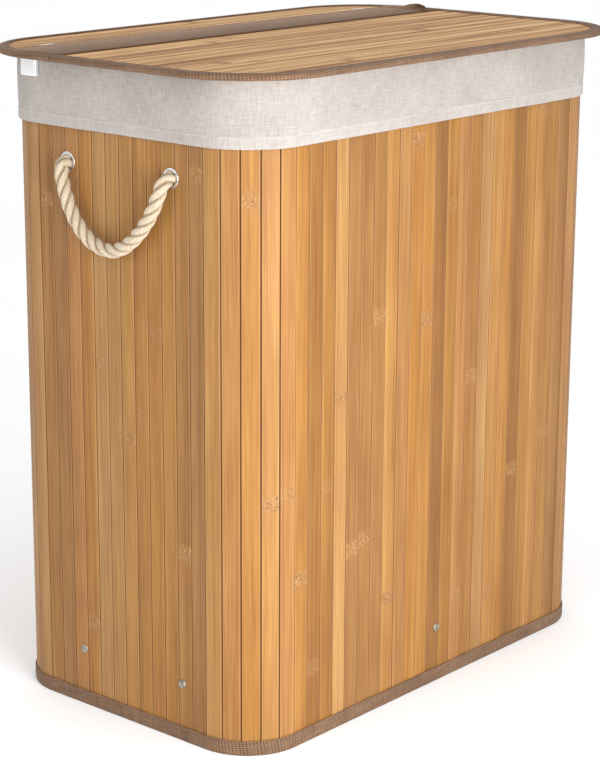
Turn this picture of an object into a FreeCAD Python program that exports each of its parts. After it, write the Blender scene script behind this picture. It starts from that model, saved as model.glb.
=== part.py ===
"""Laundry hamper with a hinged lid: a curtain of upright bamboo slats on cloth, kept
open by two steel wire hoops, with a cloth liner turned down over the rim, a rope
handle on each short side and a slatted lid bound with woven tape.

Millimetres. X runs along the long side, the front is at -Y and Z is up. The origin is
the middle of the base, on the floor.
"""

import FreeCAD, Part
import math
import os

Vector = FreeCAD.Vector

# ---------------------------------------------------------------- driving dimensions
# The wall, measured to the outer face of its slats.
wall_width = 516.8
wall_depth = 314.8
wall_height = 608.0
corner_radius = 56.0

# Bamboo slats of the wall and the lid.
slat_thickness = 1.8
slat_gap = 0.7
slat_pitch_aim = 17.6
slats_per_corner = 5
cloth_thickness = 0.8

# Woven tape folded over the wall's lower and upper edges.
tape_thickness = 0.9
tape_height = 14.0
tape_slack = 0.1

# Wire hoops inside the wall, and what holds them.
wire_diameter = 4.0
wire_clearance = 0.05
sleeve_thickness = 0.95
top_hoop_drop = 8.0
base_hoop_height = 68.0
loop_length = 20.0
loop_thickness = 1.0

# Rivets through the wall.
rivet_height = 55.0
short_rivet_ys = (55.5, -72.0)
long_rivet_x = 6.0
rivet_shank_radius = 2.0
rivet_head_radius = 4.3
rivet_head_thickness = 1.2
rivet_washer_radius = 5.2
rivet_washer_thickness = 0.8
hole_clearance = 0.05

# Base: a cloth floor and two boards that fold along the middle.
base_board_thickness = 4.0
base_board_gap = 1.5
base_edge_gap = 0.7
hinge_tape_width = 40.0
hinge_tape_thickness = 0.8
layer_gap = 0.3

# Rope handles through eyelets in the short sides.
rope_diameter = 13.0
handle_half_spacing = 64.0
handle_drop = 90.5
handle_gap = 1.3
rope_clearance = 0.1
stub_length = 0.2
eyelet_barrel_thickness = 0.7
eyelet_flange_width = 1.8
eyelet_flange_thickness = 1.0
eyelet_washer_width = 3.5
knot_radius = 14.0
knot_depth = 23.5
knot_rounding = 9.0
rope_tail_length = 30.0

# Liner: a bag hung from the rim, with a cuff turned down outside and a hem on it.
liner_thickness = 1.0
liner_gap = 0.3
cuff_height = 63.0
hem_height = 12.0
hem_extra_thickness = 0.6
bag_shoulder_drop = 48.0
knot_to_liner_gap = 1.8

# Lid: a slatted panel in a round-edged binding, in two parts that meet at a crease.
lid_overhang = 24.6
lid_corner_radius = 88.0
lid_gap = 0.3
lid_edge_height = 7.0
lid_edge_width = 8.0
lid_edge_rounding = 3.2
lid_flange_width = 6.0
lid_flange_thickness = 0.8
lid_backing_thickness = 1.2
lid_slat_thickness = 2.0
lid_pocket_depth = 2.0
rear_strip_depth = 122.0
crease_gap = 1.5
flap_axis_rise = 0.2
band_width = 60.25
band_thickness = 1.5
band_board_width = 44.0
hinge_leaf_width = 20.0
rim_margin = 2.0

# Cloth hinge behind the lid, and the hook-and-loop tabs that hold the lid down.
rear_axis_clearance = 2.0
rear_hinge_end_margin = 12.0
rear_leaf_drop = 18.0
rear_leaf_width = 4.5
rear_leaf_thickness = 0.7
tab_width = 20.0
tab_length = 18.0
tab_thickness = 1.0
tab_from_back = 50.0
tab_gap = 0.8
pad_thickness = 0.4
tab_stitch_width = 2.5
tab_stitch_height = 0.6

# ------------------------------------------------------------------- derived sizes
half_x = wall_width / 2
half_y = wall_depth / 2
rope_radius = rope_diameter / 2
wire_radius = wire_diameter / 2
top_hoop_height = wall_height - top_hoop_drop


def slat_count(run):
    return max(1, round(run / slat_pitch_aim))


long_run = wall_width - 2 * corner_radius
short_run = wall_depth - 2 * corner_radius
corner_step = 90.0 / slats_per_corner
corner_slat_width = (
    2 * (corner_radius - slat_thickness) * math.tan(math.radians(corner_step / 2)) - slat_gap
)
# Flat slats in a round corner stand a little outside the corner's circle.
corner_bulge = math.hypot(corner_radius, corner_slat_width / 2) - corner_radius

# Insets are measured inwards from the slats' outer face; a negative one lies outside it.
cloth_inset = slat_thickness
wall_inner_inset = slat_thickness + cloth_thickness
tape_outer_inset = -(corner_bulge + tape_slack)
tape_face_inset = tape_outer_inset - tape_thickness
tape_inner_inset = wall_inner_inset + tape_thickness
sleeve_radius = wire_radius + wire_clearance + sleeve_thickness
hoop_inset = tape_inner_inset + sleeve_radius
bag_top_inset = hoop_inset + sleeve_radius + liner_gap
cuff_inner_inset = tape_face_inset - liner_gap
cuff_face_inset = cuff_inner_inset - liner_thickness
hem_face_inset = cuff_face_inset - hem_extra_thickness

rim_top = wall_height + liner_thickness
hem_bottom = rim_top - cuff_height
cuff_bottom = hem_bottom + hem_height
bag_shoulder_height = wall_height - bag_shoulder_drop
panel_low = rim_top + lid_gap
backing_top = panel_low + lid_backing_thickness
panel_top = backing_top + lid_slat_thickness
edge_low = (panel_low + panel_top - lid_edge_height) / 2
lid_half_x = half_x + lid_overhang
lid_half_y = half_y + lid_overhang
crease_y = lid_half_y - rear_strip_depth
crease_rear = crease_y + crease_gap / 2
crease_front = crease_y - crease_gap / 2
panel_inset = lid_edge_width - lid_pocket_depth
flange_inset = lid_edge_width + lid_flange_width
edge_wire_inset = (lid_edge_width - lid_pocket_depth) / 2 + wire_clearance
flap_hinge_height = edge_low + lid_edge_height + flap_axis_rise

far = 2 * max(wall_width, wall_depth, wall_height)


# ------------------------------------------------------------------------- helpers
def rounded_wire(x, y, radius, height):
    """A rectangle of half sizes x and y with rounded corners, as a closed wire."""
    edges = []
    corners = [(1, 1, 0), (-1, 1, 90), (-1, -1, 180), (1, -1, 270)]
    arcs = []
    for side_x, side_y, start in corners:
        middle = Vector(side_x * (x - radius), side_y * (y - radius), height)
        ends = [
            middle + Vector(math.cos(math.radians(a)), math.sin(math.radians(a)), 0) * radius
            for a in (start, start + 45, start + 90)
        ]
        arcs.append(ends)
    for index, ends in enumerate(arcs):
        following = arcs[(index + 1) % len(arcs)]
        edges.append(Part.Arc(*ends).toShape())
        edges.append(Part.LineSegment(ends[2], following[0]).toShape())
    return Part.Wire(edges)


def rounded_block(x, y, radius, low, high):
    face = Part.Face(rounded_wire(x, y, radius, low))
    return face.extrude(Vector(0, 0, high - low))


def wall_block(inset, low, high):
    return rounded_block(half_x - inset, half_y - inset, corner_radius - inset, low, high)


def wall_ring(outer_inset, inner_inset, low, high):
    return wall_block(outer_inset, low, high).cut(wall_block(inner_inset, low, high))


def lid_block(inset, low, high):
    return rounded_block(
        lid_half_x - inset, lid_half_y - inset, lid_corner_radius - inset, low, high
    )


def lid_ring(outer_inset, inner_inset, low, high):
    return lid_block(outer_inset, low, high).cut(lid_block(inner_inset, low, high))


def box(x, y, z):
    """A box from three (low, high) pairs."""
    return Part.makeBox(x[1] - x[0], y[1] - y[0], z[1] - z[0], Vector(x[0], y[0], z[0]))


def behind(y):
    return box((-far, far), (y, far), (-far, far))


def before(y):
    return box((-far, far), (-far, y), (-far, far))


def round_bar(wire, radius):
    """A round bar along a closed or open wire, from the middle of its first edge."""
    edge = wire.Edges[0]
    start = edge.valueAt(edge.FirstParameter)
    along = edge.tangentAt(edge.FirstParameter)
    section = Part.Wire([Part.makeCircle(radius, start, along)])
    return wire.makePipeShell([section], True, False)


def turn(shape, angle, place):
    """Turns a shape about Z and carries it to a place."""
    shape.rotate(Vector(0, 0, 0), Vector(0, 0, 1), angle)
    shape.translate(place)
    return shape


def rod(radius, start, length, direction):
    return Part.makeCylinder(radius, length, start, direction)


def group(solids):
    return Part.makeCompound(solids)


def save(name, shape):
    """Writes one sub-part, as separate solids where it is several pieces."""
    solids = shape.Solids
    whole = solids[0] if len(solids) == 1 else Part.makeCompound(solids)
    whole.exportStep(f"parts/{name}.step")
    print(f"{name}: {len(solids)} solids, {sum(s.Volume for s in solids) / 1000:.1f} cm3")


os.makedirs("parts", exist_ok=True)

# ------------------------------------------------------- holes through the wall
SHORT_SIDES = {"left": -1, "right": 1}
WALL_DEPTH_OF_HOLE = 40.0


def side_hole(side, y, height, radius):
    """A cutter through one short side."""
    start = Vector(side * (half_x - WALL_DEPTH_OF_HOLE / 2), y, height)
    return rod(radius, start, WALL_DEPTH_OF_HOLE, Vector(side, 0, 0))


def long_hole(side, x, height, radius):
    """A cutter through one long side."""
    start = Vector(x, side * (half_y - WALL_DEPTH_OF_HOLE / 2), height)
    return rod(radius, start, WALL_DEPTH_OF_HOLE, Vector(0, side, 0))


eyelet_bore_radius = rope_radius + rope_clearance
eyelet_barrel_radius = eyelet_bore_radius + eyelet_barrel_thickness
handle_height = wall_height - handle_drop
stub_out = eyelet_flange_thickness + stub_length
swing_axis_out = stub_out + handle_gap + rope_radius
handle_ys = (handle_half_spacing, -handle_half_spacing)
rivet_hole_radius = rivet_shank_radius + hole_clearance

wall_holes = []
for side in SHORT_SIDES.values():
    for y in handle_ys:
        wall_holes.append(side_hole(side, y, handle_height, eyelet_barrel_radius + hole_clearance))
    for y in short_rivet_ys:
        wall_holes.append(side_hole(side, y, rivet_height, rivet_hole_radius))
for side in (-1, 1):
    wall_holes.append(long_hole(side, long_rivet_x, rivet_height, rivet_hole_radius))
all_wall_holes = group(wall_holes)

# ------------------------------------------------------------------- wall slats
slat_low = tape_thickness
slat_high = wall_height - tape_thickness


def wall_slat(width, angle, x, y):
    """One upright slat: outer face through (x, y), facing outwards along the angle."""
    slat = box((-slat_thickness, 0), (-width / 2, width / 2), (slat_low, slat_high))
    return turn(slat, angle, Vector(x, y, 0))


def straight_slats(run, angle, x, y):
    """Slats side by side along a straight side whose middle is at (x, y)."""
    count = slat_count(run)
    pitch = run / count
    along = Vector(-math.sin(math.radians(angle)), math.cos(math.radians(angle)), 0)
    slats = []
    for index in range(count):
        offset = (index + 0.5) * pitch - run / 2
        place = Vector(x, y, 0) + along * offset
        slats.append(wall_slat(pitch - slat_gap, angle, place.x, place.y))
    return group(slats)


def corner_slats(side_x, side_y, start_angle):
    """Slats round one corner, each flat against the corner's circle."""
    slats = []
    for index in range(slats_per_corner):
        angle = start_angle + (index + 0.5) * corner_step
        x = side_x * (half_x - corner_radius) + corner_radius * math.cos(math.radians(angle))
        y = side_y * (half_y - corner_radius) + corner_radius * math.sin(math.radians(angle))
        slats.append(wall_slat(corner_slat_width, angle, x, y))
    return group(slats)


save("front_wall_slats", straight_slats(long_run, -90, 0, -half_y).cut(all_wall_holes))
save("back_wall_slats", straight_slats(long_run, 90, 0, half_y).cut(all_wall_holes))
save("left_wall_slats", straight_slats(short_run, 180, -half_x, 0).cut(all_wall_holes))
save("right_wall_slats", straight_slats(short_run, 0, half_x, 0).cut(all_wall_holes))
save("front_left_corner_slats", corner_slats(-1, -1, 180))
save("front_right_corner_slats", corner_slats(1, -1, 270))
save("back_left_corner_slats", corner_slats(-1, 1, 90))
save("back_right_corner_slats", corner_slats(1, 1, 0))

# ---------------------------------------------------- wall cloth and its edge tapes
wall_cloth = wall_ring(cloth_inset, wall_inner_inset, tape_thickness, slat_high)
save("wall_cloth", wall_cloth.cut(all_wall_holes))


def folded_tape(low, high, fold_low):
    """A tape folded round the wall's edge: two legs and the fold between them."""
    outer_leg = wall_ring(tape_face_inset, tape_outer_inset, low, high)
    inner_leg = wall_ring(wall_inner_inset, tape_inner_inset, low, high)
    fold = wall_ring(tape_face_inset, tape_inner_inset, fold_low, fold_low + tape_thickness)
    return outer_leg.fuse([inner_leg, fold]).removeSplitter()


save("bottom_binding", folded_tape(0, tape_height, 0))
save("top_binding", folded_tape(wall_height - tape_height, wall_height, slat_high))

# -------------------------------------------------------------------- wire hoops
def hoop_path(height):
    return rounded_wire(
        half_x - hoop_inset, half_y - hoop_inset, corner_radius - hoop_inset, height
    )


sleeve_bore = wire_radius + wire_clearance
save("top_hoop", round_bar(hoop_path(top_hoop_height), wire_radius))
top_sleeve = round_bar(hoop_path(top_hoop_height), sleeve_radius)
save("top_hoop_sleeve", top_sleeve.cut(round_bar(hoop_path(top_hoop_height), sleeve_bore)))
save("base_hoop", round_bar(hoop_path(base_hoop_height), wire_radius))


def side_frame(side, y):
    """Angle and place of a fitting on a short side: local +X points out of the wall."""
    return (0 if side > 0 else 180), Vector(side * half_x, y, 0)


def long_frame(side, x):
    return (90 * side), Vector(x, side * half_y, 0)


rivet_places = [side_frame(side, y) for side in SHORT_SIDES.values() for y in short_rivet_ys]
rivet_places += [long_frame(side, long_rivet_x) for side in (-1, 1)]


def hoop_loop():
    """A webbing loop round the base hoop, with a flat tail that the rivet goes through."""
    tail_low = rivet_height - rivet_washer_radius - loop_thickness
    tail_face = -wall_inner_inset
    tail = box(
        (tail_face - loop_thickness, tail_face),
        (-loop_length / 2, loop_length / 2),
        (tail_low, base_hoop_height),
    )
    middle = Vector(-hoop_inset, -loop_length / 2, base_hoop_height)
    roll = rod(sleeve_radius + loop_thickness / 2, middle, loop_length, Vector(0, 1, 0))
    bore = rod(sleeve_bore, middle, loop_length, Vector(0, 1, 0))
    beyond_wall = box((tail_face, far), (-far, far), (-far, far))
    rivet_hole = rod(
        rivet_hole_radius,
        Vector(-WALL_DEPTH_OF_HOLE, 0, rivet_height),
        WALL_DEPTH_OF_HOLE,
        Vector(1, 0, 0),
    )
    return tail.fuse(roll).cut(group([bore, beyond_wall, rivet_hole])).removeSplitter()


def rivet():
    """Domed head outside, shank through slat, cloth, loop and washer, closed inside."""
    inside = -(wall_inner_inset + loop_thickness + rivet_washer_thickness)
    tail_length = 0.6
    out = Vector(1, 0, 0)
    shank = rod(rivet_shank_radius, Vector(inside, 0, rivet_height), -inside, out)
    head = rod(rivet_head_radius, Vector(0, 0, rivet_height), rivet_head_thickness, out)
    rim = [e for e in head.Edges if e.CenterOfMass.x > rivet_head_thickness - 0.01]
    head = head.makeFillet(rivet_head_thickness * 0.8, rim)
    tail_start = Vector(inside - tail_length, 0, rivet_height)
    tail = rod(rivet_head_radius, tail_start, tail_length, out)
    return shank.fuse([head, tail]).removeSplitter()


def rivet_washer():
    start = Vector(-(wall_inner_inset + loop_thickness + rivet_washer_thickness), 0, rivet_height)
    disc = rod(rivet_washer_radius, start, rivet_washer_thickness, Vector(1, 0, 0))
    return disc.cut(rod(rivet_hole_radius, start, rivet_washer_thickness, Vector(1, 0, 0)))


save("base_hoop_loops", group([turn(hoop_loop(), *place) for place in rivet_places]))
save("wall_rivets", group([turn(rivet(), *place) for place in rivet_places]))
save("rivet_washers", group([turn(rivet_washer(), *place) for place in rivet_places]))

# --------------------------------------------------------------------------- base
board_low = tape_thickness + layer_gap
board_high = board_low + base_board_thickness
save("base_cloth", wall_block(tape_inner_inset, 0, tape_thickness))
boards = wall_block(tape_inner_inset + base_edge_gap, board_low, board_high)
for name, side in SHORT_SIDES.items():
    reach = sorted((side * base_board_gap / 2, side * far))
    save(f"base_board_{name}", boards.common(box(reach, (-far, far), (-far, far))))
hinge_tape_half_y = half_y - tape_inner_inset - base_edge_gap
save(
    "base_hinge_tape",
    box(
        (-hinge_tape_width / 2, hinge_tape_width / 2),
        (-hinge_tape_half_y, hinge_tape_half_y),
        (board_high, board_high + hinge_tape_thickness),
    ),
)

# ----------------------------------------------------------- eyelets and washers
washer_face = -(wall_inner_inset + eyelet_flange_thickness)


def eyelet():
    out = Vector(1, 0, 0)
    start = Vector(washer_face, 0, handle_height)
    barrel = rod(eyelet_barrel_radius, start, -washer_face, out)
    flange_radius = eyelet_barrel_radius + eyelet_flange_width
    flange = rod(flange_radius, Vector(0, 0, handle_height), eyelet_flange_thickness, out)
    rim = [
        e for e in flange.Edges
        if e.CenterOfMass.x > eyelet_flange_thickness - 0.01 and len(e.Vertexes) == 1
    ]
    flange = flange.makeFillet(eyelet_flange_thickness * 0.7, rim)
    bore = rod(eyelet_bore_radius, start - out, 3 * WALL_DEPTH_OF_HOLE, out)
    return barrel.fuse(flange).removeSplitter().cut(bore)


def eyelet_washer():
    out = Vector(1, 0, 0)
    start = Vector(washer_face, 0, handle_height)
    radius = eyelet_barrel_radius + eyelet_washer_width
    disc = rod(radius, start, eyelet_flange_thickness, out)
    return disc.cut(rod(eyelet_barrel_radius, start, eyelet_flange_thickness, out))


def rope_end():
    """The rope inside its eyelet, the stopper knot behind the wall and the tail below."""
    knot_start = washer_face - rope_clearance - knot_depth
    out = Vector(1, 0, 0)
    knot = rod(knot_radius, Vector(knot_start, 0, handle_height), knot_depth, out)
    knot = knot.makeFillet(knot_rounding, [e for e in knot.Edges if len(e.Vertexes) == 1])
    stub_start = Vector(knot_start + knot_depth / 2, 0, handle_height)
    stub = rod(rope_radius, stub_start, stub_out - stub_start.x, out)
    tail = rod(rope_radius, stub_start, rope_tail_length, Vector(0, 0, -1))
    return knot.fuse([stub, tail]).removeSplitter()


for name, side in SHORT_SIDES.items():
    places = [side_frame(side, y) for y in handle_ys]
    save(f"{name}_eyelets", group([turn(eyelet(), *place) for place in places]))
    save(f"{name}_eyelet_washers", group([turn(eyelet_washer(), *place) for place in places]))
    save(f"{name}_rope_ends", group([turn(rope_end(), *place) for place in places]))

# ------------------------------------------------------------------- rope handles
# The hanging loop's points, from the rear eyelet to the front one: along the wall, then
# outwards and upwards from the swing axis.
rope_route = [
    (64.0, 0.0, 0.0),
    (61.5, 1.3, -12.0),
    (58.0, 1.8, -24.0),
    (52.5, 2.2, -36.0),
    (45.0, 2.4, -48.0),
    (35.5, 2.4, -58.5),
    (24.0, 2.2, -66.5),
    (10.5, 2.0, -71.0),
    (-4.0, 2.0, -71.0),
    (-17.5, 2.2, -65.5),
    (-29.5, 2.5, -57.0),
    (-41.0, 2.5, -45.5),
    (-50.5, 2.2, -32.5),
    (-58.0, 1.6, -17.0),
    (-64.0, 0.0, 0.0),
]
ARC_SHARE = 0.45


def smooth_path(points):
    """Straight runs joined by tangent arcs, each as large as its two runs allow."""
    edges = []
    start = points[0]
    length = 0.0
    radii = []
    for before_point, corner, after_point in zip(points, points[1:], points[2:]):
        back = before_point - corner
        ahead = after_point - corner
        reach = ARC_SHARE * min(back.Length, ahead.Length)
        back.normalize()
        ahead.normalize()
        half_turn = (math.pi - back.getAngle(ahead)) / 2
        radius = reach / math.tan(half_turn)
        inwards = (back + ahead).normalize()
        arc_start = corner + back * reach
        arc_end = corner + ahead * reach
        arc_middle = corner + inwards * (radius / math.cos(half_turn) - radius)
        edges.append(Part.LineSegment(start, arc_start).toShape())
        edges.append(Part.Arc(arc_start, arc_middle, arc_end).toShape())
        length += (arc_start - start).Length + 2 * half_turn * radius
        radii.append(radius)
        start = arc_end
    edges.append(Part.LineSegment(start, points[-1]).toShape())
    length += (points[-1] - start).Length
    return Part.Wire(edges), length, radii


for name, side in SHORT_SIDES.items():
    axis_x = half_x + swing_axis_out
    points = [Vector(side * (axis_x + out), y, handle_height + up) for y, out, up in rope_route]
    path, length, radii = smooth_path(points)
    tube = round_bar(path, rope_radius)
    shares = tube.Volume / (math.pi * rope_radius**2 * length)
    print(f"{name}_rope: {length:.1f} mm, volume share {shares:.4f}, valid {tube.isValid()}")
    print("  radii " + " ".join(f"{radius:.0f}" for radius in radii))
    joints = [Part.makeSphere(rope_radius * 1.01, point) for point in (points[0], points[-1])]
    save(f"{name}_rope", tube.fuse(joints))

# -------------------------------------------------------------------------- liner
cuff = wall_ring(cuff_face_inset, cuff_inner_inset, cuff_bottom, rim_top)
rim_fold = wall_ring(cuff_face_inset, bag_top_inset, wall_height, rim_top)
save("liner_cuff", cuff.fuse(rim_fold).removeSplitter())
save("liner_hem", wall_ring(hem_face_inset, cuff_inner_inset, hem_bottom, cuff_bottom))

knot_inner_x = half_x + washer_face - rope_clearance - knot_depth
bag_x = knot_inner_x - knot_to_liner_gap
bag_y = half_y - bag_top_inset - liner_gap
bag_radius = corner_radius - bag_top_inset
bag_low = board_high + hinge_tape_thickness + layer_gap
bag_floor_top = bag_low + liner_thickness


def bag_shape(shrink):
    """The bag's solid form: straight sides below a shoulder that widens to the rim."""
    x = bag_x - shrink
    y = bag_y - shrink
    radius = bag_radius - shrink
    shoulder = rounded_wire(x, y, radius, bag_shoulder_height)
    inset = bag_top_inset + shrink
    rim = rounded_wire(half_x - inset, half_y - inset, corner_radius - inset, wall_height)
    upper = Part.makeLoft([shoulder, rim], True, True)
    return rounded_block(x, y, radius, bag_floor_top, bag_shoulder_height), upper


outer_lower, outer_upper = bag_shape(0)
inner_lower, inner_upper = bag_shape(liner_thickness)
bag = outer_lower.cut(inner_lower).fuse(outer_upper.cut(inner_upper))
save("liner_bag", bag.removeSplitter())
save("liner_floor", rounded_block(bag_x, bag_y, bag_radius, bag_low, bag_floor_top))

# ---------------------------------------------------------------------------- lid
edge_solid = lid_block(0, edge_low, edge_low + lid_edge_height)
round_edges = [
    e for e in edge_solid.Edges if abs(e.Vertexes[0].Z - e.Vertexes[-1].Z) < 1e-6
]
edge_solid = edge_solid.makeFillet(lid_edge_rounding, round_edges)
edge_solid = edge_solid.cut(lid_block(lid_edge_width, edge_low, edge_low + lid_edge_height))
edge_path = rounded_wire(
    lid_half_x - edge_wire_inset,
    lid_half_y - edge_wire_inset,
    lid_corner_radius - edge_wire_inset,
    edge_low + lid_edge_height / 2,
)
edge_wire = round_bar(edge_path, wire_radius)
pocket = lid_block(panel_inset, panel_low, panel_top)
edge_solid = edge_solid.cut([pocket, round_bar(edge_path, wire_radius + wire_clearance)])
upper_flange = lid_ring(
    lid_edge_width, flange_inset, panel_top, panel_top + lid_flange_thickness
)
lower_flange = lid_ring(
    lid_edge_width, flange_inset, panel_low - lid_flange_thickness, panel_low
)
flanges = group([upper_flange, lower_flange])
band_rear = crease_rear + band_width
rear_side = behind(crease_rear)
flap_side = before(crease_front)
rear_binding = edge_solid.common(rear_side).fuse(flanges.common(behind(band_rear)).Solids)
flap_binding = edge_solid.common(flap_side).fuse(flanges.common(flap_side).Solids)
save("lid_rear_binding", rear_binding.removeSplitter())
save("lid_flap_binding", flap_binding.removeSplitter())
save("lid_rear_wire", edge_wire.common(rear_side))
save("lid_flap_wire", edge_wire.common(flap_side))

board_front = crease_rear + band_thickness
board_rear = board_front + band_board_width
panel_rear = lid_half_y - panel_inset
panel_front = -panel_rear
lid_board = lid_block(lid_edge_width, panel_low, panel_top)
save("lid_band_board", lid_board.common(behind(board_front)).common(before(board_rear)))

backing = lid_block(panel_inset, panel_low, backing_top)
save("lid_rear_backing", backing.common(behind(board_rear)))
save("lid_flap_backing", backing.common(flap_side))


def lid_slats(low_y, high_y):
    """Slats side by side between two lines, trimmed to the lid's rounded outline."""
    panel = lid_block(panel_inset, backing_top, panel_top)
    count = slat_count(high_y - low_y)
    pitch = (high_y - low_y) / count
    slats = []
    for index in range(count):
        low = low_y + index * pitch + slat_gap / 2
        strip = box((-far, far), (low, low + pitch - slat_gap), (-far, far))
        slats.append(panel.common(strip))
    return group(slats)


save("lid_rear_slats", lid_slats(board_rear, panel_rear))
save("lid_flap_slats", lid_slats(panel_front, crease_front))

# The hinge band is a cloth folded over the board's front edge. Under the lid it stays
# inside the rim, as the leaf sewn under the flap does.
inside_rim_x = (bag_top_inset + rim_margin - half_x, half_x - bag_top_inset - rim_margin)
band_low = panel_low - lid_flange_thickness
band_top_sheet = lid_block(lid_edge_width, panel_top, panel_top + band_thickness)
band_top_sheet = band_top_sheet.common(behind(crease_rear)).common(before(band_rear))
band_front_sheet = lid_block(lid_edge_width, panel_low, panel_top)
band_front_sheet = band_front_sheet.common(behind(crease_rear)).common(before(board_front))
band_leaf_y = (crease_rear, board_front + hinge_leaf_width)
band_low_sheet = box(inside_rim_x, band_leaf_y, (band_low, panel_low))
hinge_band = band_top_sheet.fuse([band_front_sheet, band_low_sheet]).removeSplitter()
save("lid_hinge_band", hinge_band)

flap_leaf_y = (crease_front - hinge_leaf_width, crease_front)
save("lid_flap_hinge_leaf", box(inside_rim_x, flap_leaf_y, (band_low, panel_low)))

# ------------------------------------------------------ cloth hinge behind the lid
cuff_back_y = half_y - cuff_face_inset
rear_hinge_y = cuff_back_y + rear_leaf_thickness + rear_axis_clearance
rear_hinge_height = rim_top
hinge_x = (rear_hinge_end_margin - long_run / 2, long_run / 2 - rear_hinge_end_margin)
save(
    "lid_rear_hinge_leaf",
    box(
        hinge_x,
        (rear_hinge_y + liner_gap, rear_hinge_y + liner_gap + rear_leaf_width),
        (panel_low - rear_leaf_thickness, panel_low),
    ),
)
save(
    "wall_hinge_leaf",
    box(
        hinge_x,
        (cuff_back_y, cuff_back_y + rear_leaf_thickness),
        (rim_top - rear_leaf_drop, rim_top),
    ),
)

# ----------------------------------------------- hook-and-loop tabs and their pads
tab_middle_y = half_y - tab_from_back
tab_y = (tab_middle_y - tab_width / 2, tab_middle_y + tab_width / 2)
tab_face = half_x - cuff_face_inset + pad_thickness + tab_gap
tab_top = panel_low - lid_flange_thickness


def lid_tab(side):
    """A tab sewn under the lid's edge that hangs down beside the cuff, with its bar tack."""
    hanging = box((tab_face, tab_face + tab_thickness), tab_y, (tab_top - tab_length, tab_top))
    sewn = lid_block(lid_edge_width, tab_top - tab_thickness, tab_top)
    sewn = sewn.common(box((tab_face, far), tab_y, (-far, far)))
    tack = lid_ring(
        flange_inset, flange_inset + tab_stitch_width, panel_top, panel_top + tab_stitch_height
    )
    tack_y = (band_rear, tab_y[1] + tab_width / 2)
    tack = tack.common(box((0, far), tack_y, (-far, far)))
    both = group([hanging.fuse(sewn).removeSplitter(), tack])
    return both if side > 0 else both.mirror(Vector(0, 0, 0), Vector(1, 0, 0))


pads = wall_ring(
    cuff_face_inset - pad_thickness, cuff_face_inset, tab_top - tab_length, tab_top - tab_gap
)
for name, side in SHORT_SIDES.items():
    save(f"{name}_lid_tab", lid_tab(side))
    reach = sorted((0, side * far))
    save(f"{name}_tab_pad", pads.common(box(reach, tab_y, (-far, far))))

# -------------------------------------------------------------------- joint axes
print(f"rear hinge axis y {rear_hinge_y:.2f} z {rear_hinge_height:.2f}")
print(f"flap hinge axis y {crease_y:.2f} z {flap_hinge_height:.2f}")
print(f"handle axis x {half_x + swing_axis_out:.2f} z {handle_height:.2f}")
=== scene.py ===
# %% [markdown]
# # A folding bamboo laundry hamper
#
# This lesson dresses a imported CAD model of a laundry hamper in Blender. The walls are
# a curtain of upright bamboo slats glued to cloth, bound along the floor with brown
# woven tape. A linen-look liner hangs inside and turns down over the rim as a cuff. A
# rope handle hangs on each short side, and a two-part slatted lid lies on top.
#
# The frame comes first. It holds every CAD part at its true size and place in metres,
# and the joints that move them. Nothing below changes those sizes. The shapes only
# get the detail that a factory drawing leaves out.

import math

import bmesh
import bpy
import numpy as np
from mathutils import Matrix, Vector, noise


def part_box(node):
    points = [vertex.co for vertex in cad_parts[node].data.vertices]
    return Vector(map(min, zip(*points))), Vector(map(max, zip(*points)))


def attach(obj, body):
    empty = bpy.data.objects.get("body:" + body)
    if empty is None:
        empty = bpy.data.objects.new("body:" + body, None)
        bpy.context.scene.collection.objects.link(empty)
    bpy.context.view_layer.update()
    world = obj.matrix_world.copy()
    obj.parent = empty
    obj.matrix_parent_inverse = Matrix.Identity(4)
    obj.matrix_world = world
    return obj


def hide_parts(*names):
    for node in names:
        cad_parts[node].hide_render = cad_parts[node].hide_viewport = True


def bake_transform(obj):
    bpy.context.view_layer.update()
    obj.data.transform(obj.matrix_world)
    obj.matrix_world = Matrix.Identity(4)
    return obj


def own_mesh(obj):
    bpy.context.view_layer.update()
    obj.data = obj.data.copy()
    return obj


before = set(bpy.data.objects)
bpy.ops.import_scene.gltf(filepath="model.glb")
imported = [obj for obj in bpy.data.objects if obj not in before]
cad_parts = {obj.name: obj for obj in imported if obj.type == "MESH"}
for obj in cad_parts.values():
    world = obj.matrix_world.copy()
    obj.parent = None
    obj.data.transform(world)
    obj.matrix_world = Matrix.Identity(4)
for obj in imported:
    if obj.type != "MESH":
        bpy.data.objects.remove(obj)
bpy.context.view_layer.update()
MM = 0.001

# %% [markdown]
# ## The camera
#
# A camera is a point, a direction and a lens. A long lens from further off keeps the
# upright edges of a tall box nearly parallel, which suits a catalogue picture. The
# turn is built from three angles, so each can be changed alone: round the object, down
# towards the floor, and a very slight roll.

# %% Place the camera
camera_data = bpy.data.cameras.new("camera")
camera = bpy.data.objects.new("camera", camera_data)
bpy.context.scene.collection.objects.link(camera)
bpy.context.scene.camera = camera

turn, tilt, roll = math.radians(-49.03), math.radians(15.106), math.radians(0.291)
camera_place = Vector((-1.6121, -1.3866, 0.8494))
camera_data.sensor_fit = "VERTICAL"
camera_data.sensor_height = 36
camera_data.sensor_width = 36
camera_data.lens = 105.92
camera_data.clip_start, camera_data.clip_end = 0.05, 100

back = Vector((math.sin(turn) * math.cos(tilt), -math.cos(turn) * math.cos(tilt), math.sin(tilt)))
level = Vector((math.cos(turn), math.sin(turn), 0))
upward = back.cross(level)
image_right = level * math.cos(roll) + upward * math.sin(roll)
image_up = upward * math.cos(roll) - level * math.sin(roll)
placing = Matrix((image_right, image_up, back)).transposed().to_4x4()
placing.translation = camera_place
camera.matrix_world = placing
print("camera lens in mm:", round(camera_data.lens, 1))

# %% [markdown]
# ## Helpers for making meshes
#
# Most of this hamper is cloth and tape that runs round a rectangle with round
# corners. One helper walks round such an outline and another sweeps a cross-section
# along it. Sweeping by hand gives even quads, a UV map measured in metres along the
# tape and across it, and full control over how loose each stretch hangs.

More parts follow.
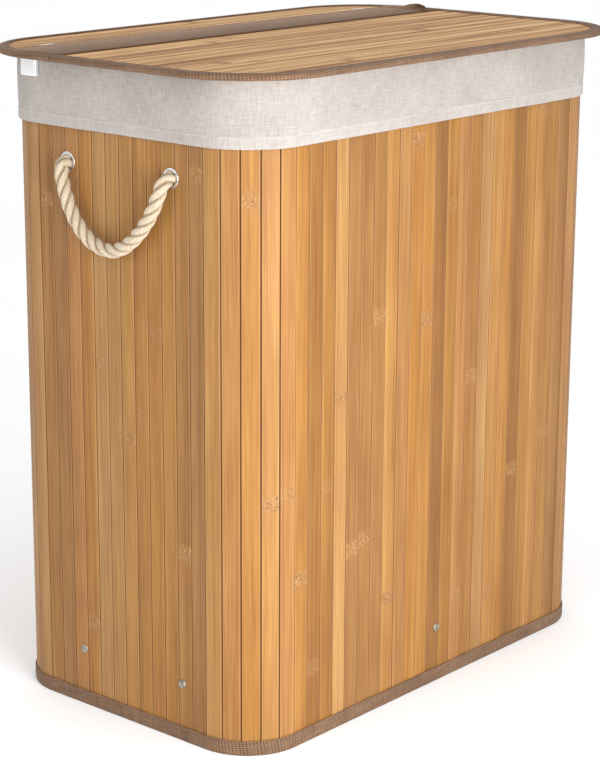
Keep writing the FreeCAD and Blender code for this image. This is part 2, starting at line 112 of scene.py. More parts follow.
# %% Make a mesh object
def new_piece(name, points, faces, uvs=None, smooth=True):
    """A mesh object at the origin, with an optional UV for each point of each face."""
    mesh = bpy.data.meshes.new(name)
    mesh.from_pydata([tuple(p) for p in points], [], faces)
    if uvs is not None:
        layer = mesh.uv_layers.new(name="UVMap")
        layer.data.foreach_set("uv", np.array(uvs, float).ravel())
    mesh.polygons.foreach_set("use_smooth", [smooth] * len(mesh.polygons))
    mesh.validate()
    mesh.update()
    piece = bpy.data.objects.new(name, mesh)
    bpy.context.scene.collection.objects.link(piece)
    return piece


def face_outwards(piece):
    """Merge doubled points, then turn every face to point out of its closed shell."""
    work = bmesh.new()
    work.from_mesh(piece.data)
    bmesh.ops.remove_doubles(work, verts=work.verts, dist=1e-6)
    bmesh.ops.recalc_face_normals(work, faces=work.faces)
    work.to_mesh(piece.data)
    work.free()
    return piece


def ring_faces(rings, around, first=0):
    """Faces that join each ring of points to the next one."""
    faces = []
    for i in range(rings - 1):
        low, high = first + i * around, first + (i + 1) * around
        for j in range(around):
            k = (j + 1) % around
            faces.append((low + j, low + k, high + k, high + j))
    return faces


def cell_uvs(cells, place):
    """A UV for each corner of each cell, where cells lists (i, j) and place(i, j) is the UV."""
    return [place(a, b) for i, j in cells
            for a, b in ((i, j), (i, j + 1), (i + 1, j + 1), (i + 1, j))]


def ring_cells(rings, around):
    return [(i, j) for i in range(rings - 1) for j in range(around)]


def sheet_faces(columns, rows, flip=False):
    """Faces of a sheet whose points are listed column by column."""
    faces = []
    for i in range(columns):
        for j in range(rows):
            a, b = i * (rows + 1) + j, (i + 1) * (rows + 1) + j
            faces.append((a, a + 1, b + 1, b) if flip else (a, b, b + 1, a + 1))
    return faces


def seen_from_above(points, faces):
    """A flat UV: each corner's own x and y."""
    return [(points[p][0], points[p][1]) for face in faces for p in face]


def thicken(piece, thickness, offset):
    """Gives a sheet its thickness, and keeps the plain mesh with no modifier left."""
    shell = piece.modifiers.new("cloth thickness", "SOLIDIFY")
    shell.thickness, shell.offset = thickness, offset
    bpy.context.view_layer.update()
    evaluated = piece.evaluated_get(bpy.context.evaluated_depsgraph_get())
    mesh = bpy.data.meshes.new_from_object(evaluated)
    piece.modifiers.clear()
    piece.data = mesh
    return piece


def label(piece, body=None, nodes=(), finish=None):
    """Gives a piece its finish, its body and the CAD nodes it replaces."""
    if finish is not None:
        piece.data.materials.append(finish)
    if body is not None:
        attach(piece, body)
    if nodes:
        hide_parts(*nodes)


# %% Walk round a rounded rectangle
def rounded_outline(half_x, half_y, radius, step=0.006):
    """Points round a rounded rectangle, anticlockwise from the middle of the back.
    Each is (x, y, outward x, outward y)."""
    corners = [
        (-half_x + radius, half_y - radius, 90),
        (-half_x + radius, -half_y + radius, 180),
        (half_x - radius, -half_y + radius, 270),
        (half_x - radius, half_y - radius, 0),
    ]
    around, arc_steps = [], max(8, round(radius * math.pi / 2 / step))
    before = (0.0, half_y)
    for cx, cy, first in corners:
        start = math.radians(first)
        ax, ay = cx + radius * math.cos(start), cy + radius * math.sin(start)
        steps = max(1, round(math.hypot(ax - before[0], ay - before[1]) / step))
        for i in range(steps):
            share = i / steps
            around.append((
                before[0] + (ax - before[0]) * share,
                before[1] + (ay - before[1]) * share,
                math.cos(start), math.sin(start),
            ))
        for i in range(arc_steps):
            angle = start + math.pi / 2 * i / arc_steps
            around.append((
                cx + radius * math.cos(angle), cy + radius * math.sin(angle),
                math.cos(angle), math.sin(angle),
            ))
        before = (
            cx + radius * math.cos(start + math.pi / 2),
            cy + radius * math.sin(start + math.pi / 2),
        )
    steps = max(1, round(abs(before[0]) / step))
    for i in range(steps):
        around.append((before[0] * (1 - i / steps), half_y, 0.0, 1.0))
    return around


def travelled(path, closed):
    """The distance along a path at each of its points, and its whole length."""
    places = np.array([(p[0], p[1]) for p in path])
    if closed:
        places = np.vstack([places, places[:1]])
    steps = np.hypot(*np.diff(places, axis=0).T)
    run = np.concatenate([[0], np.cumsum(steps)])
    return run, run[-1]


# %% Sweep a cross-section along an outline
def sweep(name, path, section, closed=True, loose=None):
    """Carries a closed cross-section of (outward, height) points along a path.
    loose(x, y, out, z, outward x, outward y) gives an offset along the outward line, for
    cloth that doesn't lie flat."""
    run, _ = travelled(path, closed)
    girth = np.concatenate([[0], np.cumsum([
        math.dist(section[i], section[(i + 1) % len(section)]) for i in range(len(section))
    ])])
    count, around = len(path), len(section)
    points = []
    for x, y, nx, ny in path:
        for out, height in section:
            extra = loose(x, y, out, height, nx, ny) if loose else 0.0
            points.append((x + nx * (out + extra), y + ny * (out + extra), height))
    faces, uvs = [], []
    for i in range(count if closed else count - 1):
        after = (i + 1) % count
        for j in range(around):
            k = (j + 1) % around
            faces.append((i * around + j, i * around + k, after * around + k, after * around + j))
            for a, b in ((i, j), (i, j + 1), (i + 1, j + 1), (i + 1, j)):
                uvs.append((run[a], girth[b]))
    if not closed:
        for i, ring in ((0, range(around)), (count - 1, reversed(range(around)))):
            ring = list(ring)
            faces.append([i * around + j for j in ring])
            uvs += [(run[i] + 0.001 * section[j][0], section[j][1]) for j in ring]
    return face_outwards(new_piece(name, points, faces, uvs))


wall_half_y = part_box("back_wall_slats")[1].y
wall_half_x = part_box("right_wall_slats")[1].x
wall_radius = 56 * MM
print("wall half sizes in mm:", round(wall_half_x / MM, 1), round(wall_half_y / MM, 1))

# %% [markdown]
# ## The rope handles
#
# Each handle is a thick cotton rope of three strands. It comes out through one metal
# eyelet, hangs in a slack loop against the wall and goes back in through the other.
# A smooth NURBS curve gives its line from a few given points. A tube with a
# bump map would give the colour of a rope but not its outline, so here three strands
# really wind round that line, and each strand gets its own fine yarns.

# %% The line of a handle
rope_width = 13 * MM
swing_x, swing_z = 267.4 * MM, 517.5 * MM
handle_route = [
    (64, -12, 0), (64, 0, 0), (61.5, 1.3, -12), (58, 1.8, -24), (52.5, 2.2, -36),
    (45, 2.4, -48), (35.5, 2.4, -58.5), (24, 2.2, -66.5), (10.5, 2, -71), (-4, 2, -71),
    (-17.5, 2.2, -65.5), (-29.5, 2.5, -57), (-41, 2.5, -45.5), (-50.5, 2.2, -32.5),
    (-58, 1.6, -17), (-64, 0, 0), (-64, -12, 0),
]


def rope_centreline(side):
    """Closely spaced points along the handle's NURBS line. side is -1 left, 1 right."""
    curve = bpy.data.curves.new("handle_line", "CURVE")
    curve.dimensions = "3D"
    curve.resolution_u = 16
    spline = curve.splines.new("NURBS")
    spline.points.add(len(handle_route) - 1)
    for point, (y, out, up) in zip(spline.points, handle_route):
        point.co = (side * (swing_x + out * MM), y * MM, swing_z + up * MM, 1)
    spline.order_u = 3
    spline.use_endpoint_u = True
    guide = bpy.data.objects.new("handle_line", curve)
    line_mesh = bpy.data.meshes.new_from_object(guide)
    line = np.array([v.co for v in line_mesh.vertices], float)
    bpy.data.objects.remove(guide)
    bpy.data.meshes.remove(line_mesh)
    steps = np.linalg.norm(np.diff(line, axis=0), axis=1)
    run = np.concatenate([[0], np.cumsum(steps)])
    even = np.linspace(0, run[-1], round(run[-1] / (0.8 * MM)) + 1)
    return np.stack([np.interp(even, run, line[:, k]) for k in range(3)], axis=1), run[-1]


# %% Wind strands round a line
def carried_frames(line):
    """Two crossways directions at each point of a line, carried along without twist."""
    along = np.gradient(line, axis=0)
    along /= np.linalg.norm(along, axis=1)[:, None]
    first = np.cross(along[0], (0.0, 0.0, 1.0))
    if np.linalg.norm(first) < 0.2:
        first = np.cross(along[0], (1.0, 0.0, 0.0))
    across = [first / np.linalg.norm(first)]
    for i in range(1, len(line)):
        flat = across[-1] - along[i] * (across[-1] @ along[i])
        across.append(flat / np.linalg.norm(flat))
    across = np.array(across)
    return across, np.cross(along, across)


def wind_rope(name, line, width, lay, yarns=8, around=24):
    """Three strands, each ribbed by its own yarns, wound round a line."""
    strand, offset = 0.262 * width, 0.232 * width
    across, third = carried_frames(line)
    run = np.concatenate([[0], np.cumsum(np.linalg.norm(np.diff(line, axis=0), axis=1))])
    points, faces, uvs, crest, outer = [], [], [], [], []
    for number in range(3):
        wind = 2 * math.pi * (run / lay + number / 3)
        wave = np.array([noise.noise(Vector((s * 45, number * 9.1, 0))) for s in run])
        centre = line + (offset * (1 + 0.05 * wave))[:, None] * (
            np.cos(wind)[:, None] * across + np.sin(wind)[:, None] * third)
        side_a, side_b = carried_frames(centre)
        first = len(points)
        for i in range(len(line)):
            for j in range(around):
                angle = 2 * math.pi * j / around
                rib = abs(math.cos(yarns / 2 * (angle + run[i] * 2 * math.pi / (0.85 * lay))))
                size = strand * (1 - 0.075 * (1 - rib) ** 2 + 0.03 * wave[i])
                points.append(centre[i] + size * (
                    math.cos(angle) * side_a[i] + math.sin(angle) * side_b[i]))
                crest.append(rib)
                outer.append(math.cos(angle) * (side_a[i] @ (centre[i] - line[i])) / offset
                             + math.sin(angle) * (side_b[i] @ (centre[i] - line[i])) / offset)
        faces += ring_faces(len(line), around, first)
        uvs += cell_uvs(ring_cells(len(line), around), lambda a, b: (
            run[a], strand * 2 * math.pi * b / around + number * 0.05))
        for i in (0, len(line) - 1):
            ring = [first + i * around + j for j in range(around)]
            faces.append(ring if i else ring[::-1])
            uvs += [(run[i] + 0.001 * math.cos(j), 0.001 * math.sin(j)) for j in range(around)]
    piece = new_piece(name, points, faces, uvs)
    # These two values drive the painted shade in the rope's grooves between yarns and strands.
    for name, values in (("yarn_crest", crest), ("strand_outside", outer)):
        piece.data.attributes.new(name, "FLOAT", "POINT").data.foreach_set("value", values)
    return piece


sides = ((-1, "left"), (1, "right"))
rope_lay = 39 * MM
rope_handles = []
for side, word in sides:
    line, rope_length = rope_centreline(side)
    handle = wind_rope(word + "_handle_rope", line, rope_width, rope_lay)
    rope_handles.append(handle)
    label(handle, nodes=[word + "_rope"])
    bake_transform(handle)
    print(handle.name, round(rope_length / MM, 1), "mm,", len(handle.data.polygons), "faces")

# %% [markdown]
# ## Materials
#
# Every finish is built from nodes that read the object's own coordinates, a UV map
# measured in metres, or a value stored on the mesh, so it stays put when a part
# moves. A short helper adds a node, sets its numbers and joins its inputs, which
# keeps each recipe readable.

# %% Add a node
def add(tree, kind, inputs=None, **settings):
    """Adds a node. inputs maps a socket's name or number to a value or a link."""
    item = tree.nodes.new(kind)
    for key, value in settings.items():
        setattr(item, key, value)
    for key, value in (inputs or {}).items():
        socket = item.inputs[key]
        if isinstance(value, bpy.types.NodeSocket):
            tree.links.new(value, socket)
        else:
            socket.default_value = value
    return item


def maths(tree, operation, *values, clamp=False):
    return add(tree, "ShaderNodeMath", dict(enumerate(values)),
               operation=operation, use_clamp=clamp).outputs[0]


def times(tree, *values, **more):
    return maths(tree, "MULTIPLY", *values, **more)


def plus(tree, *values):
    return maths(tree, "ADD", *values)


def remap(tree, value, first, last, low=0.0, high=1.0, kind="LINEAR"):
    """Carries first to last over to low to high, and stops at both ends."""
    return add(tree, "ShaderNodeMapRange", {0: value, 1: first, 2: last, 3: low, 4: high},
               interpolation_type=kind).outputs[0]


def stored(tree, name):
    """A value that was stored on the mesh."""
    return add(tree, "ShaderNodeAttribute", attribute_name=name).outputs["Fac"]


def blend_colours(tree, share, first, second, kind="MIX"):
    return add(tree, "ShaderNodeMix", {0: share, 6: first, 7: second},
               data_type="RGBA", blend_type=kind, clamp_factor=True).outputs[2]


def ramp(tree, share, stops):
    """A colour ramp from (place, colour) stops."""
    item = add(tree, "ShaderNodeValToRGB", {0: share})
    while len(item.color_ramp.elements) < len(stops):
        item.color_ramp.elements.new(0.5)
    for element, (place, colour) in zip(item.color_ramp.elements, stops):
        element.position, element.color = place, colour
    return item.outputs[0]


def grains(tree, vector, scale, detail=2.0, rough=0.5, offset=(0, 0, 0)):
    """Noise stretched by a different scale along each axis, from 0 to 1."""
    spread = add(tree, "ShaderNodeMapping", {"Vector": vector, "Location": offset, "Scale": scale})
    return add(tree, "ShaderNodeTexNoise", {
        "Vector": spread.outputs[0], "Scale": 1.0, "Detail": detail, "Roughness": rough,
    }).outputs[0]


def new_finish(name, roughness=0.6, **fixed):
    """A material with its shader. The fixed numbers go on the shader's own sockets."""
    finish = bpy.data.materials.new(name)
    finish.use_nodes = True
    shader = finish.node_tree.nodes["Principled BSDF"]
    shader.inputs["Roughness"].default_value = roughness
    for key, value in fixed.items():
        shader.inputs[key.replace("_", " ")].default_value = value
    return finish, finish.node_tree, shader


def finish_surface(tree, shader, colour, height, depth, rough=None):
    """Joins a colour, a bump height in metres of depth, and a roughness."""
    tree.links.new(colour, shader.inputs["Base Color"])
    bump = add(tree, "ShaderNodeBump", {"Height": height, "Distance": depth, "Strength": 1.0})
    tree.links.new(bump.outputs[0], shader.inputs["Normal"])
    if rough is not None:
        tree.links.new(rough, shader.inputs["Roughness"])


def place_on(tree, source):
    """The Object coordinates or the UV map."""
    return add(tree, "ShaderNodeTexCoord").outputs[source]


def rgb(red, green, blue):
    """A colour from the 0 to 255 numbers of a paint card, made linear."""
    def line(v):
        v /= 255
        return v / 12.92 if v <= 0.04045 else ((v + 0.055) / 1.055) ** 2.4
    return (line(red), line(green), line(blue), 1.0)


# %% [markdown]
# ### Bamboo
#
# Bamboo is a bundle of fine straight fibres. Each slat is cut from a different
# stalk, so neighbours differ in tone, and here and there a slat carries the scar of
# a knuckle, where the stalk had a joint. The tree reads three values stored on every
# slat: its tone, a seed that shifts the grain, and how far across the slat a point
# lies. Noise stretched far along the slat makes the fibres.

# %% Bamboo finish
def bamboo_finish(name, grain_axis, stops, streak_share=0.26, gap_painted_shade=0.52, gloss=0.26,
                  streak_width=3.4):
    finish, tree, shader = new_finish(
        name, Specular_IOR_Level=gloss, Coat_Weight=gloss / 6, Coat_Roughness=0.45)
    place = place_on(tree, "Object")
    tone = stored(tree, "slat_tone")
    seed = stored(tree, "slat_seed")
    across = stored(tree, "slat_across")

    def chance(factor):
        return maths(tree, "FRACT", times(tree, seed, factor))

    shift = add(tree, "ShaderNodeCombineXYZ", {
        axis: times(tree, seed, factor) for axis, factor in enumerate((3.1, 5.3, 7.7))}).outputs[0]
    own_place = add(tree, "ShaderNodeVectorMath", {0: place, 1: shift}, operation="ADD").outputs[0]

    def fibre(width, stretch, detail):
        scale = [1000 / width] * 3
        scale[grain_axis] = 1000 / (width * stretch)
        return grains(tree, own_place, scale, detail, 0.6)

    streak, hair, cloud = fibre(streak_width, 80, 3), fibre(1.5, 60, 2), fibre(50, 2.6, 2)
    colour = ramp(tree, tone, stops)
    streaks = ramp(tree, streak, [(0.34, rgb(168, 142, 118)), (0.48, rgb(226, 217, 206)),
                                  (0.60, rgb(255, 252, 247))])
    colour = blend_colours(tree, streak_share, colour, streaks, "MULTIPLY")
    hairs = ramp(tree, hair, [(0.34, rgb(188, 168, 146)), (0.60, rgb(255, 253, 250))])
    colour = blend_colours(tree, 0.42, colour, hairs, "MULTIPLY")
    clouds = ramp(tree, cloud, [(0.32, rgb(228, 212, 196)), (0.66, rgb(255, 255, 252))])
    colour = blend_colours(tree, 0.6, colour, clouds, "MULTIPLY")

    # One long side of a slat is often a little darker than the other.
    lean = times(tree, across, maths(tree, "SUBTRACT", chance(13.7), 0.5))
    lean = maths(tree, "MULTIPLY_ADD", lean, 0.55, 0.22, clamp=True)
    colour = blend_colours(tree, lean, colour, rgb(206, 180, 146), "MULTIPLY")

    # The knuckle: a patch of pale and dark scribbles at the slat's own height.
    along = add(tree, "ShaderNodeSeparateXYZ", {0: place}).outputs[grain_axis]
    ragged = times(tree, grains(tree, own_place, (300, 300, 300), 2), 0.010)
    along = plus(tree, along, ragged)
    first_place = 0.05 if grain_axis == 2 else -0.25
    knuckle_place = maths(tree, "MULTIPLY_ADD", chance(91.3), 0.50, first_place)
    apart = maths(tree, "SUBTRACT", along, knuckle_place)
    distance = maths(tree, "ABSOLUTE", apart)
    has_knuckle = maths(tree, "LESS_THAN", chance(37.7), 0.82)
    strength = maths(tree, "MULTIPLY_ADD", chance(57.1), 0.75, 0.35)
    strength = times(tree, has_knuckle, strength)

    def band(value, far, near):
        return times(tree, remap(tree, value, far, near, kind="SMOOTHSTEP"), strength, clamp=True)

    patch, smear = band(distance, 0.0088, 0.0044), band(apart, -0.035, -0.002)
    smear = times(tree, smear, maths(tree, "LESS_THAN", apart, 0.0))
    scribble = add(tree, "ShaderNodeMapping", {
        "Vector": own_place, "Scale": (700, 700, 520)}).outputs[0]
    scribble = add(tree, "ShaderNodeTexNoise", {
        "Vector": scribble, "Scale": 1.0, "Detail": 2.0, "Roughness": 0.7,
        "Distortion": 1.5}).outputs[0]
    marks = ramp(tree, scribble, [(0.36, rgb(98, 64, 34)), (0.52, rgb(152, 108, 62)),
                                  (0.68, rgb(196, 154, 102))])
    colour = blend_colours(tree, times(tree, smear, 0.26), colour, rgb(150, 104, 58))
    colour = blend_colours(tree, times(tree, patch, 0.88), colour, marks)

    # A thin painted highlight along each long edge, and painted shade where it meets the gap.
    side = maths(tree, "ABSOLUTE", across)
    pale = times(tree, remap(tree, side, 0.84, 0.90, kind="SMOOTHSTEP"), 0.07)
    colour = blend_colours(tree, pale, colour, rgb(240, 206, 156))
    dark = times(tree, remap(tree, side, 0.945, 0.985, kind="SMOOTHSTEP"), gap_painted_shade)
    colour = blend_colours(tree, dark, colour, rgb(112, 68, 32))

    height = plus(tree, times(tree, streak, 0.4), times(tree, hair, 0.4))
    height = plus(tree, height, times(tree, patch, scribble))
    rough = remap(tree, streak, 0.3, 0.7, 0.62, 0.48)
    finish_surface(tree, shader, colour, height, 0.00010, rough)
    return finish


wall_bamboo = bamboo_finish("wall bamboo", 2, [
    (0.00, rgb(142, 100, 52)), (0.12, rgb(166, 121, 58)), (0.24, rgb(153, 114, 69)),
    (0.36, rgb(176, 128, 62)), (0.48, rgb(159, 121, 68)), (0.60, rgb(173, 128, 77)),
    (0.72, rgb(177, 134, 70)), (0.84, rgb(169, 131, 84)), (1.00, rgb(188, 148, 92))])
# The lid's tones are paler and less saturated than the wall's: painted light, a painted sheen for
# its top seen at a low angle.
lid_bamboo = bamboo_finish("lid bamboo", 0, [
    (0.00, rgb(196, 156, 104)), (0.30, rgb(216, 176, 124)), (0.60, rgb(230, 192, 138)),
    (1.00, rgb(240, 208, 156))], streak_share=1.0, gap_painted_shade=0.9, gloss=0.10, streak_width=5.5)

# %% [markdown]
# ### Woven tape, linen and other cloth
#
# All the cloth here is plain woven: threads go over and under each other in two
# directions. One recipe makes it from two wave patterns, with slubs, where a thread
# is thicker, as stretched noise. Tape, linen and canvas differ only in the size of
# their threads, their colours, and the angle they were cut at.

# %% Woven cloth finish
def woven_finish(name, dark, light, thread, angle=0.0, slub=0.5, source="UV", depth=0.00018,
                 cloudy=0.5, lengthways=(1, 1), stretch=1.0, painted_shade_span=None, **fixed):
    """Cloth with threads of this width in metres, cut at this angle in degrees.

    stretch makes the threads longer one way; painted_shade_span paints shade on the
    cloth between two places along Y, darkest at the first and full colour at the second."""
    finish, tree, shader = new_finish(name, 0.86, Specular_IOR_Level=0.25, **fixed)
    place = place_on(tree, source)
    turned = add(tree, "ShaderNodeMapping", {
        "Vector": place, "Rotation": (0, 0, math.radians(angle)),
        "Scale": (1 / stretch, 1, 1)}).outputs[0]

    def threads(direction):
        return add(tree, "ShaderNodeTexWave", {
            "Vector": turned, "Scale": math.pi / 10 / thread, "Distortion": 1.2,
            "Detail": 2.0, "Detail Scale": 0.35, "Detail Roughness": 0.6,
        }, wave_type="BANDS", bands_direction=direction).outputs["Fac"]

    warp, weft = threads("X"), threads("Y")
    weave = plus(tree, times(tree, warp, 0.5), times(tree, weft, 0.5))
    fine, long = 1 / (1.3 * thread), 1 / (15 * thread)
    long_slub = grains(tree, turned, (fine, long, long), 2, 0.6)
    wide_slub = grains(tree, turned, (long, fine, long), 2, 0.6)
    slubs = plus(tree, times(tree, long_slub, 0.5 * lengthways[0]),
                  times(tree, wide_slub, 0.5 * lengthways[1]))
    cloud = grains(tree, place, (14, 14, 14), 3, 0.55)
    share = plus(tree, times(tree, weave, 1 - slub), times(tree, slubs, slub))
    colour = ramp(tree, share, [(0.24, dark), (0.70, light)])
    shade = ramp(tree, cloud, [(0.30, rgb(214, 210, 206)), (0.70, rgb(255, 255, 255))])
    colour = blend_colours(tree, cloudy, colour, shade, "MULTIPLY")
    # Painted shade: the cloth darkens from the second place along Y towards the first.
    if painted_shade_span:
        along = add(tree, "ShaderNodeSeparateXYZ", {0: place}).outputs[1]
        along = remap(tree, along, *painted_shade_span)
        painted_shade_tint = ramp(tree, along, [(0.0, rgb(176, 168, 160)), (0.75, rgb(236, 234, 232)),
                                    (0.95, rgb(255, 255, 255))])
        colour = blend_colours(tree, 1.0, colour, painted_shade_tint, "MULTIPLY")
    height = plus(tree, weave, times(tree, slubs, 0.8))
    rough = remap(tree, share, 0.2, 0.8, 0.95, 0.78)
    finish_surface(tree, shader, colour, height, depth, rough)
    return finish


brown_tape = woven_finish("brown woven tape", rgb(70, 51, 37), rgb(146, 114, 88), 0.0021, 6,
                          0.60, depth=0.0003, cloudy=0.9, stretch=1.5,
                          Sheen_Weight=0.05, Sheen_Roughness=0.5)
# The band cloth carries painted shade that darkens it towards the crease at its front; other parts
# with this finish take the same painted shade by their place along Y.
brown_band = woven_finish("brown band cloth", rgb(106, 78, 55), rgb(180, 145, 112), 0.0024, 0,
                          0.45, painted_shade_span=(0.060, 0.121), source="Object",
                          Sheen_Weight=0.06, Sheen_Roughness=0.5)
# The crease strip is coloured dark as painted shade in the crease between the panels.
crease_painted_shade = woven_finish("crease cloth with painted shade", rgb(84, 60, 42), rgb(118, 88, 62), 0.0014, 0, 0.4,
                           source="Object", Sheen_Weight=0.02)
linen = woven_finish("greige linen", rgb(130, 123, 117), rgb(194, 187, 181), 0.0009, 0, 0.66,
                     lengthways=(1.1, 0.9), Sheen_Weight=0.15, Sheen_Roughness=0.5)
linen_hem = woven_finish("linen hem", rgb(138, 131, 126), rgb(198, 191, 186), 0.0009, 0, 0.62,
                         Sheen_Weight=0.15, Sheen_Roughness=0.5)
backing = woven_finish("backing cloth", rgb(116, 74, 38), rgb(152, 104, 60), 0.0009, 0, 0.4,
                       source="Object", Sheen_Weight=0.05)
canvas = woven_finish("webbing canvas", rgb(150, 140, 126), rgb(206, 198, 184), 0.0012, 0, 0.3,
                      source="Object", Sheen_Weight=0.1)
tab_weave = woven_finish("white tab weave", rgb(214, 217, 220), rgb(246, 248, 250), 0.0012, 0, 0.25,
                         source="Object", depth=0.00025, cloudy=0.2, Sheen_Weight=0.2)


# %% [markdown]
# ### Rope, thread, metal and board
#
# The rope's yarns are real geometry, so its material only adds the fine fibres, the
# cream colour, and painted shade in the grooves between yarns and strands. Nickel and
# steel get a little uneven polish, and the pressed base board gets flecks of fibre.

# %% Rope, thread, metal and board finishes
def rope_finish():
    finish, tree, shader = new_finish("cream cotton rope", 0.9, Specular_IOR_Level=0.2,
                                      Sheen_Weight=0.35, Sheen_Roughness=0.45)
    place = place_on(tree, "UV")
    crest = stored(tree, "yarn_crest")
    fibres = grains(tree, place, (260, 2600, 1), 3, 0.6)
    fluff = grains(tree, place_on(tree, "Object"), (500, 500, 500), 3, 0.6)
    outer = stored(tree, "strand_outside")
    # Painted shade: darker in the hollows between yarns, and darker still in the grooves between
    # strands.
    colour = ramp(tree, crest, [(0.0, rgb(172, 155, 133)), (0.45, rgb(202, 189, 169)),
                                (1.0, rgb(216, 206, 190))])
    groove_painted_shade = ramp(tree, outer, [(-0.2, rgb(150, 128, 104)), (0.38, rgb(222, 208, 190)),
                                (0.70, rgb(255, 254, 252))])
    colour = blend_colours(tree, 0.7, colour, groove_painted_shade, "MULTIPLY")
    shade = ramp(tree, fibres, [(0.3, rgb(206, 193, 174)), (0.62, rgb(255, 255, 252))])
    colour = blend_colours(tree, 0.7, colour, shade, "MULTIPLY")
    soft = ramp(tree, fluff, [(0.34, rgb(220, 208, 190)), (0.60, rgb(255, 255, 253))])
    colour = blend_colours(tree, 0.7, colour, soft, "MULTIPLY")
    height = plus(tree, fibres, times(tree, fluff, 1.6))
    rough = remap(tree, fluff, 0.0, 1.0, 0.82, 0.98)
    finish_surface(tree, shader, colour, height, 0.00022, rough)
    return finish


def metal_finish(name, dark, light, rough_low, rough_high):
    finish, tree, shader = new_finish(name, rough_low, Metallic=1.0)
    place = place_on(tree, "Object")
    worn = grains(tree, place, (240, 240, 240), 3, 0.6)
    fine = grains(tree, place, (1800, 1800, 600), 2, 0.5)
    colour = ramp(tree, worn, [(0.3, dark), (0.62, light)])
    rough = remap(tree, worn, 0.0, 1.0, rough_high, rough_low)
    finish_surface(tree, shader, colour, fine, 0.00002, rough)
    return finish


def board_finish():
    finish, tree, shader = new_finish("pressed fibre board", 0.8, Specular_IOR_Level=0.3)
    place = place_on(tree, "Object")
    flecks = grains(tree, place, (320, 320, 320), 4, 0.65)
    cloud = grains(tree, place, (18, 18, 18), 2, 0.5)
    colour = ramp(tree, flecks, [(0.32, rgb(120, 94, 66)), (0.66, rgb(176, 146, 108))])
    shade = ramp(tree, cloud, [(0.3, rgb(220, 214, 206)), (0.7, rgb(255, 255, 255))])
    colour = blend_colours(tree, 0.6, colour, shade, "MULTIPLY")
    rough = remap(tree, flecks, 0.0, 1.0, 0.88, 0.7)
    finish_surface(tree, shader, colour, flecks, 0.0002, rough)
    return finish


def thread_finish(name, dark, light):
    finish, tree, shader = new_finish(name, 0.6, Specular_IOR_Level=0.35, Sheen_Weight=0.2)
    twist = grains(tree, place_on(tree, "Object"), (1500, 1500, 1500), 2, 0.5)
    rough = remap(tree, twist, 0.0, 1.0, 0.72, 0.5)
    colour = ramp(tree, twist, [(0.3, dark), (0.65, light)])
    finish_surface(tree, shader, colour, twist, 0.00008, rough)
    return finish


cotton_rope = rope_finish()
nickel = metal_finish("nickel", rgb(176, 172, 166), rgb(222, 220, 216), 0.16, 0.34)
steel_wire = metal_finish("steel wire", rgb(140, 140, 142), rgb(196, 196, 198), 0.25, 0.45)
fibre_board = board_finish()
brown_thread = thread_finish("brown thread", rgb(76, 54, 38), rgb(130, 100, 74))
cream_thread = thread_finish("cream thread", rgb(204, 194, 182), rgb(244, 240, 232))
linen_thread = thread_finish("linen thread", rgb(176, 169, 165), rgb(216, 209, 205))
rivet_nickel = metal_finish("dull rivet nickel", rgb(112, 106, 96), rgb(176, 169, 154), 0.42, 0.6)
for handle in rope_handles:
    handle.data.materials.append(cotton_rope)
print(len(bpy.data.materials), "materials")

# %% [markdown]
# ## The slats
#
# The wall has ninety upright slats, and the lid has seventeen more. They could
# be copied one by one, but they follow a rule: the same strip, set at an even pitch
# along a path. Geometry Nodes say exactly that. The tree samples the path at the
# middle of each slat, turns a strip to face outwards, gives each strip its own tone
# and a hair of play, and makes the copies real at the end.

# %% One slat
def slat_shape(name, width, length, thickness, rounding, flat=False, rows=6):
    """A strip with eased long edges. Upright slats face -Y. Flat ones lie facing +Z."""
    half, soft = width / 2, rounding
    section = [(-half, 0.30 * thickness), (-half + 0.35 * soft, 0.06 * thickness),
               (-half + soft, 0.0), (-half * 0.4, -0.00004), (half * 0.4, -0.00004),
               (half - soft, 0.0), (half - 0.35 * soft, 0.06 * thickness),
               (half, 0.30 * thickness), (half, thickness), (-half, thickness)]
    count, points = len(section), []
    for i in range(rows + 1):
        along = -length / 2 + length * i / rows
        points += [(x, along, -deep) if flat else (x, deep, along) for x, deep in section]
    faces = ring_faces(rows + 1, count)
    faces += [list(range(count)), [rows * count + j for j in reversed(range(count))]]
    slat = face_outwards(new_piece(name, points, faces, smooth=False))
    layer = slat.data.attributes.new("slat_across", "FLOAT", "POINT")
    layer.data.foreach_set("value", [
        max(-1.0, min(1.0, v.co.x / half)) for v in slat.data.vertices])
    return slat


# %% The tree that lays slats along a path
def tree_socket(tree, name, kind, default=None, into="INPUT"):
    socket = tree.interface.new_socket(name, in_out=into, socket_type="NodeSocket" + kind)
    if default is not None:
        socket.default_value = default
    return socket


def new_tree(name, inputs, output):
    """An empty tree with these inputs, each a name, a kind and perhaps a default."""
    tree = bpy.data.node_groups.new(name, "GeometryNodeTree")
    tree.is_modifier = True
    for socket in inputs:
        tree_socket(tree, *socket)
    tree_socket(tree, output, "Geometry", into="OUTPUT")
    given = tree.nodes.new("NodeGroupInput").outputs
    path = add(tree, "GeometryNodeMeshToCurve", {"Mesh": given["Path"]}).outputs[0]
    return tree, given, path, tree.nodes.new("GeometryNodeInputIndex").outputs[0]


def even_steps(tree, path, index, count):
    """The place and the direction at the middle of each of this many steps."""
    share = maths(tree, "DIVIDE", plus(tree, index, 0.5), count)
    sample = add(tree, "GeometryNodeSampleCurve", {"Curves": path, "Factor": share},
                 mode="FACTOR", use_all_curves=True)
    return sample.outputs["Position"], sample.outputs["Tangent"]


